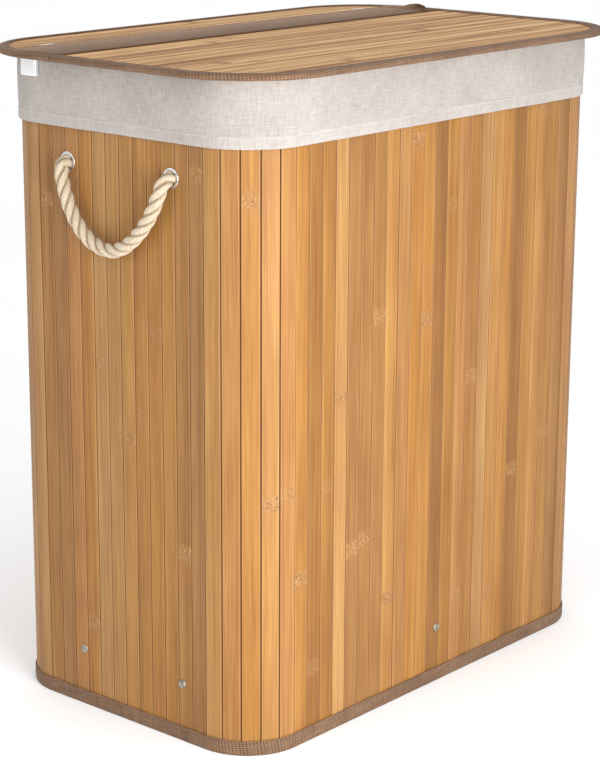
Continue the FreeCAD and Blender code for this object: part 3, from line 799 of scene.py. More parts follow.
def copies(tree, count, place, tangent, shape, **pivot):
    """A copy of the shape at each place, with its X along the path."""
    points = add(tree, "GeometryNodePoints", {"Count": count, "Position": place}).outputs[0]
    facing = add(tree, "FunctionNodeAlignRotationToVector", {"Vector": tangent}, axis="X",
                 **pivot).outputs[0]
    # The tangent belongs to the point list, so it is stored before the copies are placed.
    marked = add(tree, "GeometryNodeStoreNamedAttribute", {
        "Geometry": points, "Name": "facing", "Value": facing},
        data_type="QUATERNION", domain="POINT").outputs[0]
    turned = add(tree, "GeometryNodeInputNamedAttribute", {"Name": "facing"},
                 data_type="QUATERNION").outputs[0]
    one = add(tree, "GeometryNodeObjectInfo", {"Object": shape}).outputs["Geometry"]
    return add(tree, "GeometryNodeInstanceOnPoints", {
        "Points": marked, "Instance": one, "Rotation": turned}).outputs[0]


def close_tree(tree, row, material):
    """Makes the copies real and gives them their material."""
    real = add(tree, "GeometryNodeRealizeInstances", {0: row}).outputs[0]
    done = add(tree, "GeometryNodeSetMaterial", {"Geometry": real, "Material": material}).outputs[0]
    tree.links.new(done, tree.nodes.new("NodeGroupOutput").inputs[0])
    return tree


def slat_row_tree():
    tree, given, path, index = new_tree("slats along a path", [
        ("Path", "Geometry"), ("Slat", "Object"), ("Count", "Int", 10), ("Seed", "Int", 1),
        ("Play", "Float", 0.00012), ("Turn", "Float", 0.006), ("Material", "Material")], "Slats")
    place, tangent = even_steps(tree, path, index, given["Count"])

    def chance(low, high, shift):
        seed = plus(tree, given["Seed"], shift)
        pick = add(tree, "FunctionNodeRandomValue", {"Seed": seed, "ID": index}, data_type="FLOAT")
        pick.inputs[2].default_value, pick.inputs[3].default_value = low, high
        return pick.outputs[1]

    row = copies(tree, given["Count"], place, tangent, given["Slat"], pivot_axis="Z")
    lift = add(tree, "ShaderNodeCombineXYZ", {
        1: times(tree, chance(-1.0, 1.0, 5), given["Play"])}).outputs[0]
    row = add(tree, "GeometryNodeTranslateInstances", {
        "Instances": row, "Translation": lift}).outputs[0]
    twist = add(tree, "ShaderNodeCombineXYZ", {
        2: times(tree, chance(-1.0, 1.0, 9), given["Turn"])}).outputs[0]
    spin = add(tree, "FunctionNodeEulerToRotation", {0: twist}).outputs[0]
    row = add(tree, "GeometryNodeRotateInstances", {"Instances": row, "Rotation": spin}).outputs[0]
    for name, shift in (("slat_tone", 21), ("slat_seed", 33)):
        row = add(tree, "GeometryNodeStoreNamedAttribute", {
            "Geometry": row, "Name": name, "Value": chance(0.0, 1.0, shift)},
            data_type="FLOAT", domain="INSTANCE").outputs[0]
    return close_tree(tree, row, given["Material"])


# %% Run a tree on a path and keep the plain mesh
def path_object(name, points, closed=False):
    mesh = bpy.data.meshes.new(name)
    edges = [(i, i + 1) for i in range(len(points) - 1)]
    if closed:
        edges.append((len(points) - 1, 0))
    mesh.from_pydata([tuple(p) for p in points], edges, [])
    guide = bpy.data.objects.new(name, mesh)
    bpy.context.scene.collection.objects.link(guide)
    return guide


def mend_marks(mesh):
    """A cut leaves new corners without their slat's marks, so each slat gets its own again."""
    count, edges = len(mesh.vertices), np.empty(2 * len(mesh.edges), int)
    mesh.edges.foreach_get("vertices", edges)
    a, b = edges.reshape(-1, 2).T
    slat_of, before = np.arange(count), None
    while before is None or (slat_of != before).any():
        before = slat_of.copy()
        lowest = np.minimum(slat_of[a], slat_of[b])
        np.minimum.at(slat_of, a, lowest)
        np.minimum.at(slat_of, b, lowest)
    places = np.empty(3 * count)
    mesh.vertices.foreach_get("co", places)
    places = places.reshape(-1, 3)
    marks = {}
    for name in ("slat_tone", "slat_seed", "slat_across"):
        marks[name] = np.empty(count)
        mesh.attributes[name].data.foreach_get("value", marks[name])
    for slat in np.unique(slat_of):
        own = np.flatnonzero(slat_of == slat)
        good = own[marks["slat_seed"][own] > 0]
        across = marks["slat_across"][good]
        right = places[good[across > 0.9]].mean(axis=0)
        left = places[good[across < -0.9]].mean(axis=0)
        axis = right - left
        for name in ("slat_tone", "slat_seed"):
            marks[name][own] = np.median(marks[name][good])
        others = np.setdiff1d(own, good)
        marks["slat_across"][others] = np.clip(
            2 * ((places[others] - (left + right) / 2) @ axis) / (axis @ axis), -1, 1)
    for name, values in marks.items():
        mesh.attributes[name].data.foreach_set("value", values)


def grow(name, tree, guide, values, cutter=None, cut="DIFFERENCE"):
    """Gives the guide the tree with these inputs, and keeps the evaluated mesh."""
    modifier = guide.modifiers.new("grow", "NODES")
    modifier.node_group = tree
    sockets = {s.name: s.identifier for s in tree.interface.items_tree if s.in_out == "INPUT"}
    for key, value in values.items():
        modifier[sockets[key]] = value
    if cutter is not None:
        trim = guide.modifiers.new("trim", "BOOLEAN")
        trim.operation, trim.object, trim.solver = cut, cutter, "EXACT"
    bpy.context.view_layer.update()
    evaluated = guide.evaluated_get(bpy.context.evaluated_depsgraph_get())
    mesh = bpy.data.meshes.new_from_object(evaluated)
    bpy.data.objects.remove(guide)
    mesh.name = name
    if cutter is not None:
        mend_marks(mesh)
    piece = bpy.data.objects.new(name, mesh)
    bpy.context.scene.collection.objects.link(piece)
    return piece


def put_away(*helpers):
    """Removes the objects that only helped to make a piece."""
    for helper in helpers:
        bpy.data.objects.remove(helper)


slat_tree = slat_row_tree()
print("slat tree has", len(slat_tree.nodes), "nodes")

# %% The wall's slats, one group for each side and corner
slat_low, slat_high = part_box("front_wall_slats")[0].z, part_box("front_wall_slats")[1].z
slat_middle = (slat_low + slat_high) / 2
slat_thickness, slat_gap, slats_per_corner = 1.8 * MM, 0.7 * MM, 5
straight_x, straight_y = wall_half_x - wall_radius, wall_half_y - wall_radius


def arc_path(cx, cy, first):
    angles = [math.radians(first + 90 * i / 40) for i in range(41)]
    return [(cx + wall_radius * math.cos(a), cy + wall_radius * math.sin(a), slat_middle)
            for a in angles]


eyelet_y, eyelet_z = 64 * MM, swing_z
eyelet_hole_radius = 7.6 * MM
bores = []
for side in (-1, 1):
    for end in (-1, 1):
        bpy.ops.mesh.primitive_cylinder_add(
            vertices=40, radius=eyelet_hole_radius, depth=20 * MM,
            location=(side * wall_half_x, end * eyelet_y, eyelet_z), rotation=(0, math.pi / 2, 0))
        bores.append(bpy.context.object)
bpy.ops.object.select_all(action="DESELECT")
for bore in bores:
    bore.select_set(True)
bpy.context.view_layer.objects.active = bores[0]
bpy.ops.object.join()
eyelet_bores = bpy.context.object

long_count, short_count = 23, 12
slat_edge_round = 0.9 * MM
side_groups = {}
for name, sign, seed in (("front_wall_slats", -1, 31), ("back_wall_slats", 1, 47)):
    line = [(sign * straight_x, sign * wall_half_y, slat_middle),
            (-sign * straight_x, sign * wall_half_y, slat_middle)]
    side_groups[name] = (line, long_count, 2 * straight_x / long_count - slat_gap, seed)
for name, sign, seed in (("left_wall_slats", -1, 59), ("right_wall_slats", 1, 67)):
    line = [(sign * wall_half_x, -sign * straight_y, slat_middle),
            (sign * wall_half_x, sign * straight_y, slat_middle)]
    side_groups[name] = (line, short_count, 2 * straight_y / short_count - slat_gap, seed)
corner_width = (2 * (wall_radius - slat_thickness) * math.tan(math.radians(45 / slats_per_corner))
                - slat_gap)
for name, cx, cy, first, seed in (
        ("front_left_corner_slats", -straight_x, -straight_y, 180, 71),
        ("front_right_corner_slats", straight_x, -straight_y, 270, 83),
        ("back_left_corner_slats", -straight_x, straight_y, 90, 97),
        ("back_right_corner_slats", straight_x, straight_y, 0, 103)):
    side_groups[name] = (arc_path(cx, cy, first), slats_per_corner, corner_width, seed)

for name, (path, count, width, seed) in side_groups.items():
    slat = slat_shape("one_slat", width, slat_high - slat_low, slat_thickness, slat_edge_round)
    holes = eyelet_bores if name in ("left_wall_slats", "right_wall_slats") else None
    group = grow("bamboo_" + name, slat_tree, path_object("row", path), {
        "Slat": slat, "Count": count, "Seed": seed, "Material": wall_bamboo}, holes)
    put_away(slat)
    label(group, "hamper", [name])
    print(group.name, count, "slats", len(group.data.polygons), "faces")
put_away(eyelet_bores)

# %% [markdown]
# ## Stitches
#
# Every tape and hem on the hamper is sewn down with a row of small stitches. They are
# tiny, but a seam without them looks printed. A stitch is a short, flat bead with few
# faces. A second tree sets stitches at an even pitch along a path. The path runs at
# the cloth's surface, so about half of each stitch sinks in.

# %% The stitch and its tree
def stitch_shape(length, width):
    points, ring = [], 6
    for share, size in ((-0.5, 0.35), (-0.3, 0.95), (0.3, 0.95), (0.5, 0.35)):
        for j in range(ring):
            angle = 2 * math.pi * j / ring
            points.append((share * length, size * width / 2 * math.cos(angle),
                           size * width / 2 * math.sin(angle)))
    faces = ring_faces(4, ring) + [list(range(ring)), [3 * ring + j for j in range(ring)]]
    return face_outwards(new_piece("one_stitch", points, faces))


def stitch_row_tree():
    tree, given, path, index = new_tree("stitches along a path", [
        ("Path", "Geometry"), ("Stitch", "Object"), ("Pitch", "Float", 0.0042), ("Seed", "Int", 3),
        ("Wander", "Float", 0.0001), ("Material", "Material")], "Seam")
    length = add(tree, "GeometryNodeCurveLength", {0: path}).outputs[0]
    count = maths(tree, "FLOOR", maths(tree, "DIVIDE", length, given["Pitch"]))
    place, tangent = even_steps(tree, path, index, count)
    wander = add(tree, "FunctionNodeRandomValue", {"Seed": given["Seed"], "ID": index},
                 data_type="FLOAT_VECTOR")
    wander.inputs[0].default_value, wander.inputs[1].default_value = (-1, -1, -1), (1, 1, 1)
    nudge = add(tree, "ShaderNodeVectorMath", {0: wander.outputs[0], "Scale": given["Wander"]},
                operation="SCALE").outputs[0]
    place = add(tree, "ShaderNodeVectorMath", {0: place, 1: nudge}, operation="ADD").outputs[0]
    row = copies(tree, count, place, tangent, given["Stitch"])
    return close_tree(tree, row, given["Material"])


stitch_tree = stitch_row_tree()


def sew(name, points, body, thread, closed=False, pitch=4.2 * MM, width=0.9 * MM):
    """A seam of stitches along these points, riding on a body."""
    stitch = stitch_shape(0.72 * pitch, width)
    seam = grow(name, stitch_tree, path_object("seam_line", points, closed), {
        "Stitch": stitch, "Pitch": pitch, "Material": thread})
    put_away(stitch)
    label(seam, body)
    return seam


# %% [markdown]
# ## The bottom binding
#
# Brown tape is folded over the raw lower ends of the slats and sewn through. It is
# swept round the wall as a closed U: the outer leg bulges a little, pulled in where
# the seam runs near its upper edge.

# %% The bottom binding and its seam
wall_outline = rounded_outline(wall_half_x, wall_half_y, wall_radius)
binding_section = [(o * MM, z * MM) for o, z in (
    (0.75, 13.7), (0.95, 14.0), (1.45, 13.8), (1.62, 13.0), (1.55, 12.0), (1.30, 11.3),
    (1.28, 10.9), (1.58, 10.2), (1.72, 8.0), (1.76, 5.0), (1.66, 2.2), (1.40, 0.7), (0.9, 0.12),
    (0.2, 0.02), (-1.6, 0.02), (-3.0, 0.05), (-3.55, 0.6), (-3.62, 4.0), (-3.62, 13.3),
    (-3.3, 13.9), (-2.85, 13.9), (-2.72, 13.3), (-2.72, 0.95), (-1.0, 0.86), (0.66, 0.88),
    (0.68, 6.0))]


def tape_looseness(x, y, out, z, nx, ny):
    amount = min(1.0, z / 0.008) if out > 0.0008 else 0.0
    return 0.00028 * amount * noise.noise(Vector((x * 26, y * 26, z * 60)))


bottom_binding = sweep("bottom_binding_tape", wall_outline, binding_section, loose=tape_looseness)
label(bottom_binding, "hamper", ["bottom_binding"], brown_tape)


def outline_line(half_x, half_y, radius, out, z):
    return [(x + nx * out, y + ny * out, z)
            for x, y, nx, ny in rounded_outline(half_x, half_y, radius)]


binding_seam = sew("bottom_binding_seam", outline_line(
    wall_half_x, wall_half_y, wall_radius, 1.38 * MM, 11.1 * MM), "hamper",
    brown_thread, closed=True)
print("bottom seam", len(binding_seam.data.polygons), "faces")

# %% [markdown]
# ## The liner
#
# The liner is one bag of greige linen-look cloth. It hangs from the rim, turns over
# it, and comes down outside as a cuff with a paler sewn hem. The cuff hangs free, so
# it has slack: soft upright waves that grow towards the hem, a bulge below the rim
# where the cloth rounds over, and a hem that flares. Smooth noise places the waves,
# which also keeps the cloth off the slats.

# %% How the cuff hangs
cuff_top, hem_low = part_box("liner_cuff")[1].z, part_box("liner_hem")[0].z
cuff_out = 2.9 * MM


def share_of(value):
    """The value, kept from 0 to 1."""
    return min(1.0, max(0.0, value))


def cuff_slack(x, y, out, z, nx, ny):
    """How far the cuff stands off its neat line, more and more towards the hem."""
    drop = share_of((cuff_top - z) / (cuff_top - hem_low))
    broad = noise.noise(Vector((x * 7.0, y * 7.0, 4.2)))
    folds = noise.noise(Vector((x * 24.0, y * 24.0, 1.7 + z * 3.0)))
    creases = noise.noise(Vector((x * 60.0, y * 60.0, z * 9.0)))
    slack = drop * (1.5 * max(-0.45, broad) + 0.9 * max(-0.5, folds) + 0.30 * creases)
    slack += 0.55 * math.sin(math.pi * min(1.0, drop * 1.25)) + 0.12 * creases
    behind_hinge = share_of((y - 0.150) / 0.006) * share_of((0.215 - abs(x)) / 0.02)
    under_tab = share_of((0.030 - abs(y - 0.1074)) / 0.016) if abs(x) > 0.25 else 0.0
    return slack * MM * (1 - 0.97 * behind_hinge) * (1 - 0.9 * under_tab)


def folded_strip(outer, thickness):
    """A closed section from an open outer line, with the inner face beside it."""
    inner = []
    for i, (o, z) in enumerate(outer):
        a, b = outer[max(0, i - 1)], outer[min(len(outer) - 1, i + 1)]
        length = math.hypot(b[0] - a[0], b[1] - a[1])
        inner.append((o - (a[1] - b[1]) / length * thickness,
                      z - (b[0] - a[0]) / length * thickness))
    return outer + inner[::-1]


cuff_line = [(o * MM, z * MM) for o, z in (
    (-9.7, 606.9), (-9.2, 608.3), (-7.8, 608.95), (-4.5, 609.0), (-1.0, 609.0), (1.1, 608.9),
    (2.2, 608.2), (2.7, 606.8), (2.9, 604.6))]
cuff_line += [(cuff_out, z * MM) for z in (600, 595, 590, 585, 580, 575, 570, 565, 561, 558.2)]
cuff_path = rounded_outline(wall_half_x, wall_half_y, wall_radius, 0.0045)
cuff = sweep("liner_cuff_cloth", cuff_path, folded_strip(cuff_line, 0.85 * MM), loose=lambda *a: (
    cuff_slack(*a) if a[2] > 0.001 else 0.0))
hem_line = [(o * MM, z * MM) for o, z in (
    (2.70, 559.8), (2.98, 559.6), (3.16, 559.0), (3.10, 558.2), (3.18, 557.2), (3.34, 555),
    (3.44, 552.5), (3.40, 550.2), (3.15, 548.9), (2.75, 548.4))]
hem = sweep("liner_hem_band", cuff_path, folded_strip(hem_line, 1.1 * MM), loose=cuff_slack)
cuff_round = travelled(cuff_path, True)[1]
cuff_tall, hem_tall = 0.066, 0.0135
for piece, node, tall, finish in ((cuff, "liner_cuff", cuff_tall, linen),
                                  (hem, "liner_hem", hem_tall, linen_hem)):
    label(piece, "hamper", [node], finish)
print("cuff girth in mm:", round(cuff_round / MM))

# %% The hem's seam follows the loose cloth
def loose_line(out, z):
    line = []
    for x, y, nx, ny in cuff_path:
        far = out + cuff_slack(x, y, out, z, nx, ny)
        line.append((x + nx * far, y + ny * far, z))
    return line


sew("liner_hem_seam", loose_line(3.12 * MM, 557.9 * MM), "hamper",
    linen_thread, closed=True, pitch=3.4 * MM, width=0.5 * MM)

# %% [markdown]
# ### The bag
#
# Inside, the bag falls straight from the rim to a shoulder that clears the knots of
# the handles, then on to the floor of the hamper. Only its mouth shows past the lid,
# but the lid opens, so all of it is made. Each level is its own outline, and folds
# deepen towards the bottom, always inwards so that the cloth stays off the slats.

# %% The bag and its floor
bag_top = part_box("liner_bag")[1]
floor_half_x, floor_half_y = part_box("liner_floor")[1].x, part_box("liner_floor")[1].y


def bag_level(z):
    """Half sizes of the bag at a height: wide at the mouth, narrower under the shoulder."""
    t = share_of((z - 0.560) / 0.040)
    t = t * t * (3 - 2 * t)
    return (floor_half_x + (bag_top.x - floor_half_x) * t,
            floor_half_y + (bag_top.y - floor_half_y) * t)


def bag_fold(x, y, z):
    deep = share_of((0.60 - z) / 0.25)
    folds = noise.noise(Vector((x * 17, y * 17, z * 1.6)))
    fine = noise.noise(Vector((x * 42, y * 42, z * 7)))
    return deep * (1.3 + 5.5 * max(-0.25, folds)) * MM + 0.9 * MM * deep * (0.5 + 0.5 * fine)


def make_bag():
    heights = [0.6078, 0.604, 0.599, 0.592, 0.583, 0.574, 0.566, 0.559, 0.548]
    heights += [0.548 - 0.0195 * i for i in range(1, 28)] + [0.0100, 0.0076]
    rings = [rounded_outline(*bag_level(z), bag_radius, 0.008) for z in heights]
    count, points = min(len(r) for r in rings), []
    for z, ring in zip(heights, rings):
        places = np.array([(p[0], p[1]) for p in ring] + [(ring[0][0], ring[0][1])])
        run = travelled(ring, True)[0]
        even = np.linspace(0, run[-1], count, endpoint=False)
        xs, ys = np.interp(even, run, places[:, 0]), np.interp(even, run, places[:, 1])
        for i in range(count):
            ax, ay = xs[(i + 1) % count] - xs[i - 1], ys[(i + 1) % count] - ys[i - 1]
            length = math.hypot(ax, ay)
            fold = bag_fold(xs[i], ys[i], z)
            points.append((xs[i] - ay / length * fold, ys[i] + ax / length * fold, z))
    girth = travelled(rings[0], True)[1]
    uvs = cell_uvs(ring_cells(len(heights), count), lambda a, b: (girth * b / count, heights[a]))
    faces = ring_faces(len(heights), count)
    return new_piece("liner_bag_cloth", points, faces, uvs), girth


bag_radius, bag_tall = 46.2 * MM, 0.60
bag, bag_girth = make_bag()
thicken(bag, 0.8 * MM, 1.0)
label(bag, "hamper", ["liner_bag"], linen)


def make_bag_floor():
    """A sheet of cells inside a round-cornered outline, with shallow wrinkles."""
    across, down = 76, 50
    hx, hy, radius = floor_half_x - 1.2 * MM, floor_half_y - 1.2 * MM, 45 * MM
    points = []
    for i in range(across + 1):
        for j in range(down + 1):
            x, y = hx * (2 * i / across - 1), hy * (2 * j / down - 1)
            over_x, over_y = max(0.0, abs(x) - hx + radius), max(0.0, abs(y) - hy + radius)
            reach = math.hypot(over_x, over_y)
            if reach > 1e-9:
                most = max(over_x, over_y) / reach
                x = math.copysign(abs(x) - over_x * (1 - most), x)
                y = math.copysign(abs(y) - over_y * (1 - most), y)
            wrinkle = 0.9 * noise.noise(Vector((x * 14, y * 14, 3))) + 0.4 * noise.noise(
                Vector((x * 40, y * 40, 9)))
            points.append((x, y, 0.0080 + 0.0010 * max(-0.6, wrinkle)))
    faces = sheet_faces(across, down)
    return new_piece("liner_floor_cloth", points, faces, seen_from_above(points, faces))


bag_floor = thicken(make_bag_floor(), 0.9 * MM, -1.0)
label(bag_floor, "hamper", ["liner_floor"], linen)
print("bag girth in mm:", round(bag_girth / MM))

# %% [markdown]
# ## The lid
#
# The lid is two stiff panels that meet at a crease. Their slats lie along the long
# side, and their ends are cut to the lid's round corners. The same slat tree lays
# them along a line from back to front, and a Boolean cuts their ends with a prism of
# the panel's outline, as a router would.

# %% The lid's slats
lid_half_x, lid_half_y, lid_radius = 283 * MM, 182 * MM, 88 * MM
lid_slat_low, lid_slat_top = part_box("lid_flap_slats")[0].z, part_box("lid_flap_slats")[1].z
panel_inset = 6 * MM


def panel_prism():
    outline = rounded_outline(lid_half_x - panel_inset, lid_half_y - panel_inset,
                              lid_radius - panel_inset, 0.004)
    count = len(outline)
    points = [(x, y, z) for z in (lid_slat_low - 0.01, lid_slat_top + 0.01)
              for x, y, _, _ in outline]
    faces = [list(range(count))[::-1], list(range(count, 2 * count))]
    faces += [(i, (i + 1) % count, count + (i + 1) % count, count + i) for i in range(count)]
    return new_piece("panel_prism", points, faces)


def lid_slat_row(name, node, body, y_back, y_front, count, seed):
    pitch = (y_back - y_front) / count
    slat = slat_shape("one_slat", pitch - slat_gap, 2 * lid_half_x, lid_slat_top - lid_slat_low,
                      0.8 * MM, flat=True, rows=4)
    path = [(0, y_back, lid_slat_top), (0, y_front, lid_slat_top)]
    prism = panel_prism()
    group = grow(name, slat_tree, path_object("row", path), {
        "Slat": slat, "Count": count, "Seed": seed, "Play": 0.0, "Turn": 0.0,
        "Material": lid_bamboo}, prism, "INTERSECT")
    put_away(slat, prism)
    label(group, body, [node])
    print(name, count, "slats", len(group.data.polygons), "faces")


crease_front, crease_rear = 59.25 * MM, 60.75 * MM
slats_end, band_board_back = lid_half_y - panel_inset, 106.25 * MM
lid_slat_row("bamboo_lid_flap", "lid_flap_slats", "lid_flap", crease_front, -slats_end, 13, 7)
lid_slat_row("bamboo_lid_rear", "lid_rear_slats", "lid_rear", slats_end, band_board_back, 4, 16)

# %% [markdown]
# ### The lid's binding
#
# The same brown tape wraps the edge of each panel over a steel wire, so it is thick
# at the rim and thin where it lies flat on the slats. It is swept along an open path,
# because each panel's binding is a U that stops at the crease.

# %% Binding, wires' tape and seams of the lid
lid_outline = rounded_outline(lid_half_x, lid_half_y, lid_radius, 0.006)


def outline_part(keep):
    """The stretch of the lid's outline that keep(x, y) chooses, in walking order."""
    chosen = [keep(p[0], p[1]) for p in lid_outline]
    first = next(i for i in range(len(chosen)) if chosen[i] and not chosen[i - 1])
    rolled = lid_outline[first:] + lid_outline[:first]
    return [p for p in rolled if keep(p[0], p[1])]


def ended(path, y):
    """The path with points added where it meets the crease at y."""
    first, last = ((math.copysign(lid_half_x, p[0]), y, p[2], p[3]) for p in (path[0], path[-1]))
    return [first] + path + [last]


flap_edge = ended(outline_part(lambda x, y: y < crease_front - 0.001), crease_front)
rear_edge = ended(outline_part(lambda x, y: y > crease_rear + 0.001), crease_rear)
lid_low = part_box("lid_flap_binding")[0].z
edge_section = [(o * MM, lid_low + z * MM) for o, z in (
    (-14.1, 5.15), (-14.1, 5.7), (-13.7, 5.95), (-12.6, 5.85), (-11.9, 5.70), (-11.3, 5.85),
    (-9.6, 6.0), (-8.2, 6.2), (-6.8, 6.45), (-4.6, 6.5), (-2.6, 6.3), (-1.1, 5.65), (-0.2, 4.5),
    (0.0, 3.4), (-0.3, 2.2), (-1.2, 1.15), (-2.7, 0.6), (-4.6, 0.5), (-6.8, 0.6), (-8.2, 0.85),
    (-9.6, 1.05), (-13.7, 1.10), (-14.1, 1.35), (-14.1, 1.85), (-8.0, 1.88), (-6.0, 1.88),
    (-5.92, 3.5), (-6.0, 5.12), (-8.0, 5.13))]


def edge_looseness(x, y, out, z, nx, ny):
    """A little unevenness, and along the back the flat part of the tape is narrower."""
    narrow = 5.6 * MM * max(0.0, ny) ** 2 if out < -9 * MM else 0.0
    return narrow + 0.00035 * noise.noise(Vector((x * 20, y * 20, z * 50)))


seam_inset = 11.9 * MM
for body, path, node in (("lid_flap", flap_edge, "lid_flap_binding"),
                         ("lid_rear", rear_edge, "lid_rear_binding")):
    edge = sweep(body + "_edge_tape", path, edge_section, closed=False, loose=edge_looseness)
    label(edge, body, [node], brown_tape)
    for word, z in (("upper", lid_low + 5.78 * MM), ("lower", lid_low + 1.08 * MM)):
        seam_line = []
        for x, y, nx, ny in path:
            inset = seam_inset - edge_looseness(x, y, -seam_inset, z, nx, ny)
            seam_line.append((x - nx * inset, y - ny * inset, z))
        sew(f"{body}_{word}_seam", seam_line, body, brown_thread)
    print(edge.name, len(edge.data.polygons), "faces")

# %% [markdown]
# ### The hinge band, the crease and the cloth hinges
#
# A band of the same brown cloth covers a stiff board behind the crease. It is a
# sheet of cells bent over the board, a little domed, with a curled end. The crease
# itself is a narrow cloth strip that lies between the two panels. A second cloth leaf
# joins the lid to the back of the wall.

# %% The hinge band
band_back, band_top = 121 * MM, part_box("lid_hinge_band")[1].z
band_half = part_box("lid_hinge_band")[1].x
band_end = 258 * MM


def band_height(x, y):
    """The band domes over its board, with slight ripples."""
    across = share_of((y - crease_rear) / (band_back - crease_rear))
    dome = 0.75 * math.sin(math.pi * across) ** 0.6
    ripple = (0.30 * noise.noise(Vector((x * 9, y * 30, 2)))
              + 0.12 * noise.noise(Vector((x * 40, y * 40, 5))))
    return band_top + (dome + ripple * math.sin(math.pi * across) - 0.4) * MM


def make_band():
    columns, rows = 110, 22
    points, faces = [], []
    # The front edge folds down over the board and back beneath it.
    tuck = ((0.0, 612.9), (0.0, 610.5), (0.1, 608.9), (1.0, 608.5), (12.0, 608.5), (33.0, 608.5))
    for i in range(columns + 1):
        x = -band_half + (band_end + band_half) * i / columns
        for j in range(rows + 1):
            y = crease_rear + (band_back - crease_rear) * j / rows
            points.append((x, y, band_height(x, y)))
        points += [(x, crease_rear + o * MM, z * MM) for o, z in tuck]
    span = rows + 1 + len(tuck)
    order = list(range(rows, -1, -1)) + list(range(rows + 1, span))
    for i in range(columns):
        for a, b in zip(order, order[1:]):
            faces.append((i * span + a, i * span + b, (i + 1) * span + b, (i + 1) * span + a))
    return new_piece("lid_hinge_band_cloth", points, faces, seen_from_above(points, faces))


band = make_band()
work = bmesh.new()
work.from_mesh(band.data)
bmesh.ops.recalc_face_normals(work, faces=work.faces)
if max(work.faces, key=lambda f: f.calc_center_median().z).normal.z < 0:
    bmesh.ops.reverse_faces(work, faces=work.faces)
work.to_mesh(band.data)
work.free()
thicken(band, 0.7 * MM, -1.0)
label(band, "lid_rear", ["lid_hinge_band"], brown_band)
band_seam, seam_y = [], band_back - 2.6 * MM
for i in range(101):
    x = -band_half + 0.004 + (band_end + band_half - 0.008) * i / 100
    band_seam.append((x, seam_y, band_height(x, seam_y) + 0.1 * MM))
sew("lid_band_seam", band_seam, "lid_rear", brown_thread)


# %% The band's curled end
def make_band_end():
    """The last bit of the band isn't sewn down: it turns up, most at its front corner."""
    columns, rows, size = 14, 20, 8 * MM / 2.5
    start, points = band_end - 9 * MM, []
    for i in range(columns + 1):
        t = i / columns
        for j in range(rows + 1):
            across = j / rows
            turn_up = 3.3 * max(0.06, 1 - 1.5 * across) ** 1.2
            x = start + size * math.sin(turn_up * t) / (turn_up / 2.5)
            y = crease_rear + (band_back - crease_rear) * across
            rise = size * (1 - math.cos(turn_up * t)) / (turn_up / 2.5)
            points.append((x, y, band_height(start, y) + 0.15 * MM + rise))
    faces = sheet_faces(columns, rows)
    end = new_piece("lid_band_end_cloth", points, faces, seen_from_above(points, faces))
    return thicken(end, 0.8 * MM, 0.0)


band_end_cloth = make_band_end()
label(band_end_cloth, "lid_rear", finish=brown_band)
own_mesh(band_end_cloth)

# %% The crease strip and the rear hinge leaf
def bent_strip(name, line, x_low, x_high, thickness, columns=60):
    """A strip of cloth along X, from a list of (y, z) points in metres."""
    points = []
    for i in range(columns + 1):
        x = x_low + (x_high - x_low) * i / columns
        points += [(x, y, z + 0.00006 * noise.noise(Vector((x * 60, y * 90, z * 90))))
                   for y, z in line]
    faces = sheet_faces(columns, len(line) - 1, flip=True)
    uvs = [(points[p][0], points[p][1] + points[p][2]) for face in faces for p in face]
    return thicken(new_piece(name, points, faces, uvs), thickness, 0.0)


def smooth_line(corners, steps=5):
    """Rounds the corners of an open line of (y, z) points in mm, and returns metres."""
    line = [corners[0]]
    for a, b, c in zip(corners, corners[1:], corners[2:]):
        p = ((a[0] + b[0]) / 2, (a[1] + b[1]) / 2)
        q = ((b[0] + c[0]) / 2, (b[1] + c[1]) / 2)
        for i in range(steps + 1):
            t = i / steps
            line.append(tuple((1 - t) ** 2 * p[k] + 2 * t * (1 - t) * b[k] + t * t * q[k]
                              for k in (0, 1)))
    line.append(corners[-1])
    return [(y * MM, z * MM) for y, z in line]


crease_half = 0.2745
crease = bent_strip("lid_crease_cloth", smooth_line([
    (62.4, 613.7), (61.1, 613.9), (60.6, 613.1), (60.2, 611.3), (59.6, 611.2), (59.0, 612.3),
    (57.9, 612.62)]), -crease_half, crease_half, 0.3 * MM)
# Its finish paints shade into the crease.
label(crease, finish=crease_painted_shade)
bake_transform(crease)

leaf_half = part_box("wall_hinge_leaf")[1].x
rear_leaf = bent_strip("rear_hinge_cloth", smooth_line([
    (160.65, 591.2), (160.65, 598), (160.65, 604), (160.9, 607.2), (162.2, 608.7),
    (164.2, 608.95), (167.7, 608.95)]), -leaf_half, leaf_half, 0.6 * MM)
label(rear_leaf, nodes=["wall_hinge_leaf", "lid_rear_hinge_leaf"], finish=brown_band)
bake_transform(rear_leaf)
leaf_seam = [(x, 161.0 * MM, 593.6 * MM) for x in (leaf_half - 0.003, 0, -leaf_half + 0.003)]
sew("rear_hinge_seam", leaf_seam, "hamper", brown_thread)
print("crease and rear hinge made")

# %% [markdown]
# ## Tabs, knots and the parts kept from the CAD
#
# A white hook-and-loop tab hangs from each end of the lid and presses on a pad sewn
# to the cuff. The knots that stop the ropes sit behind the wall. The other parts keep
# their CAD shape, and only get their finish: the hoops, rivets, eyelets and boards.

# %% The closing tabs
tab_face, tab_width, tab_top = 263.15 * MM, 20 * MM, 608.4 * MM


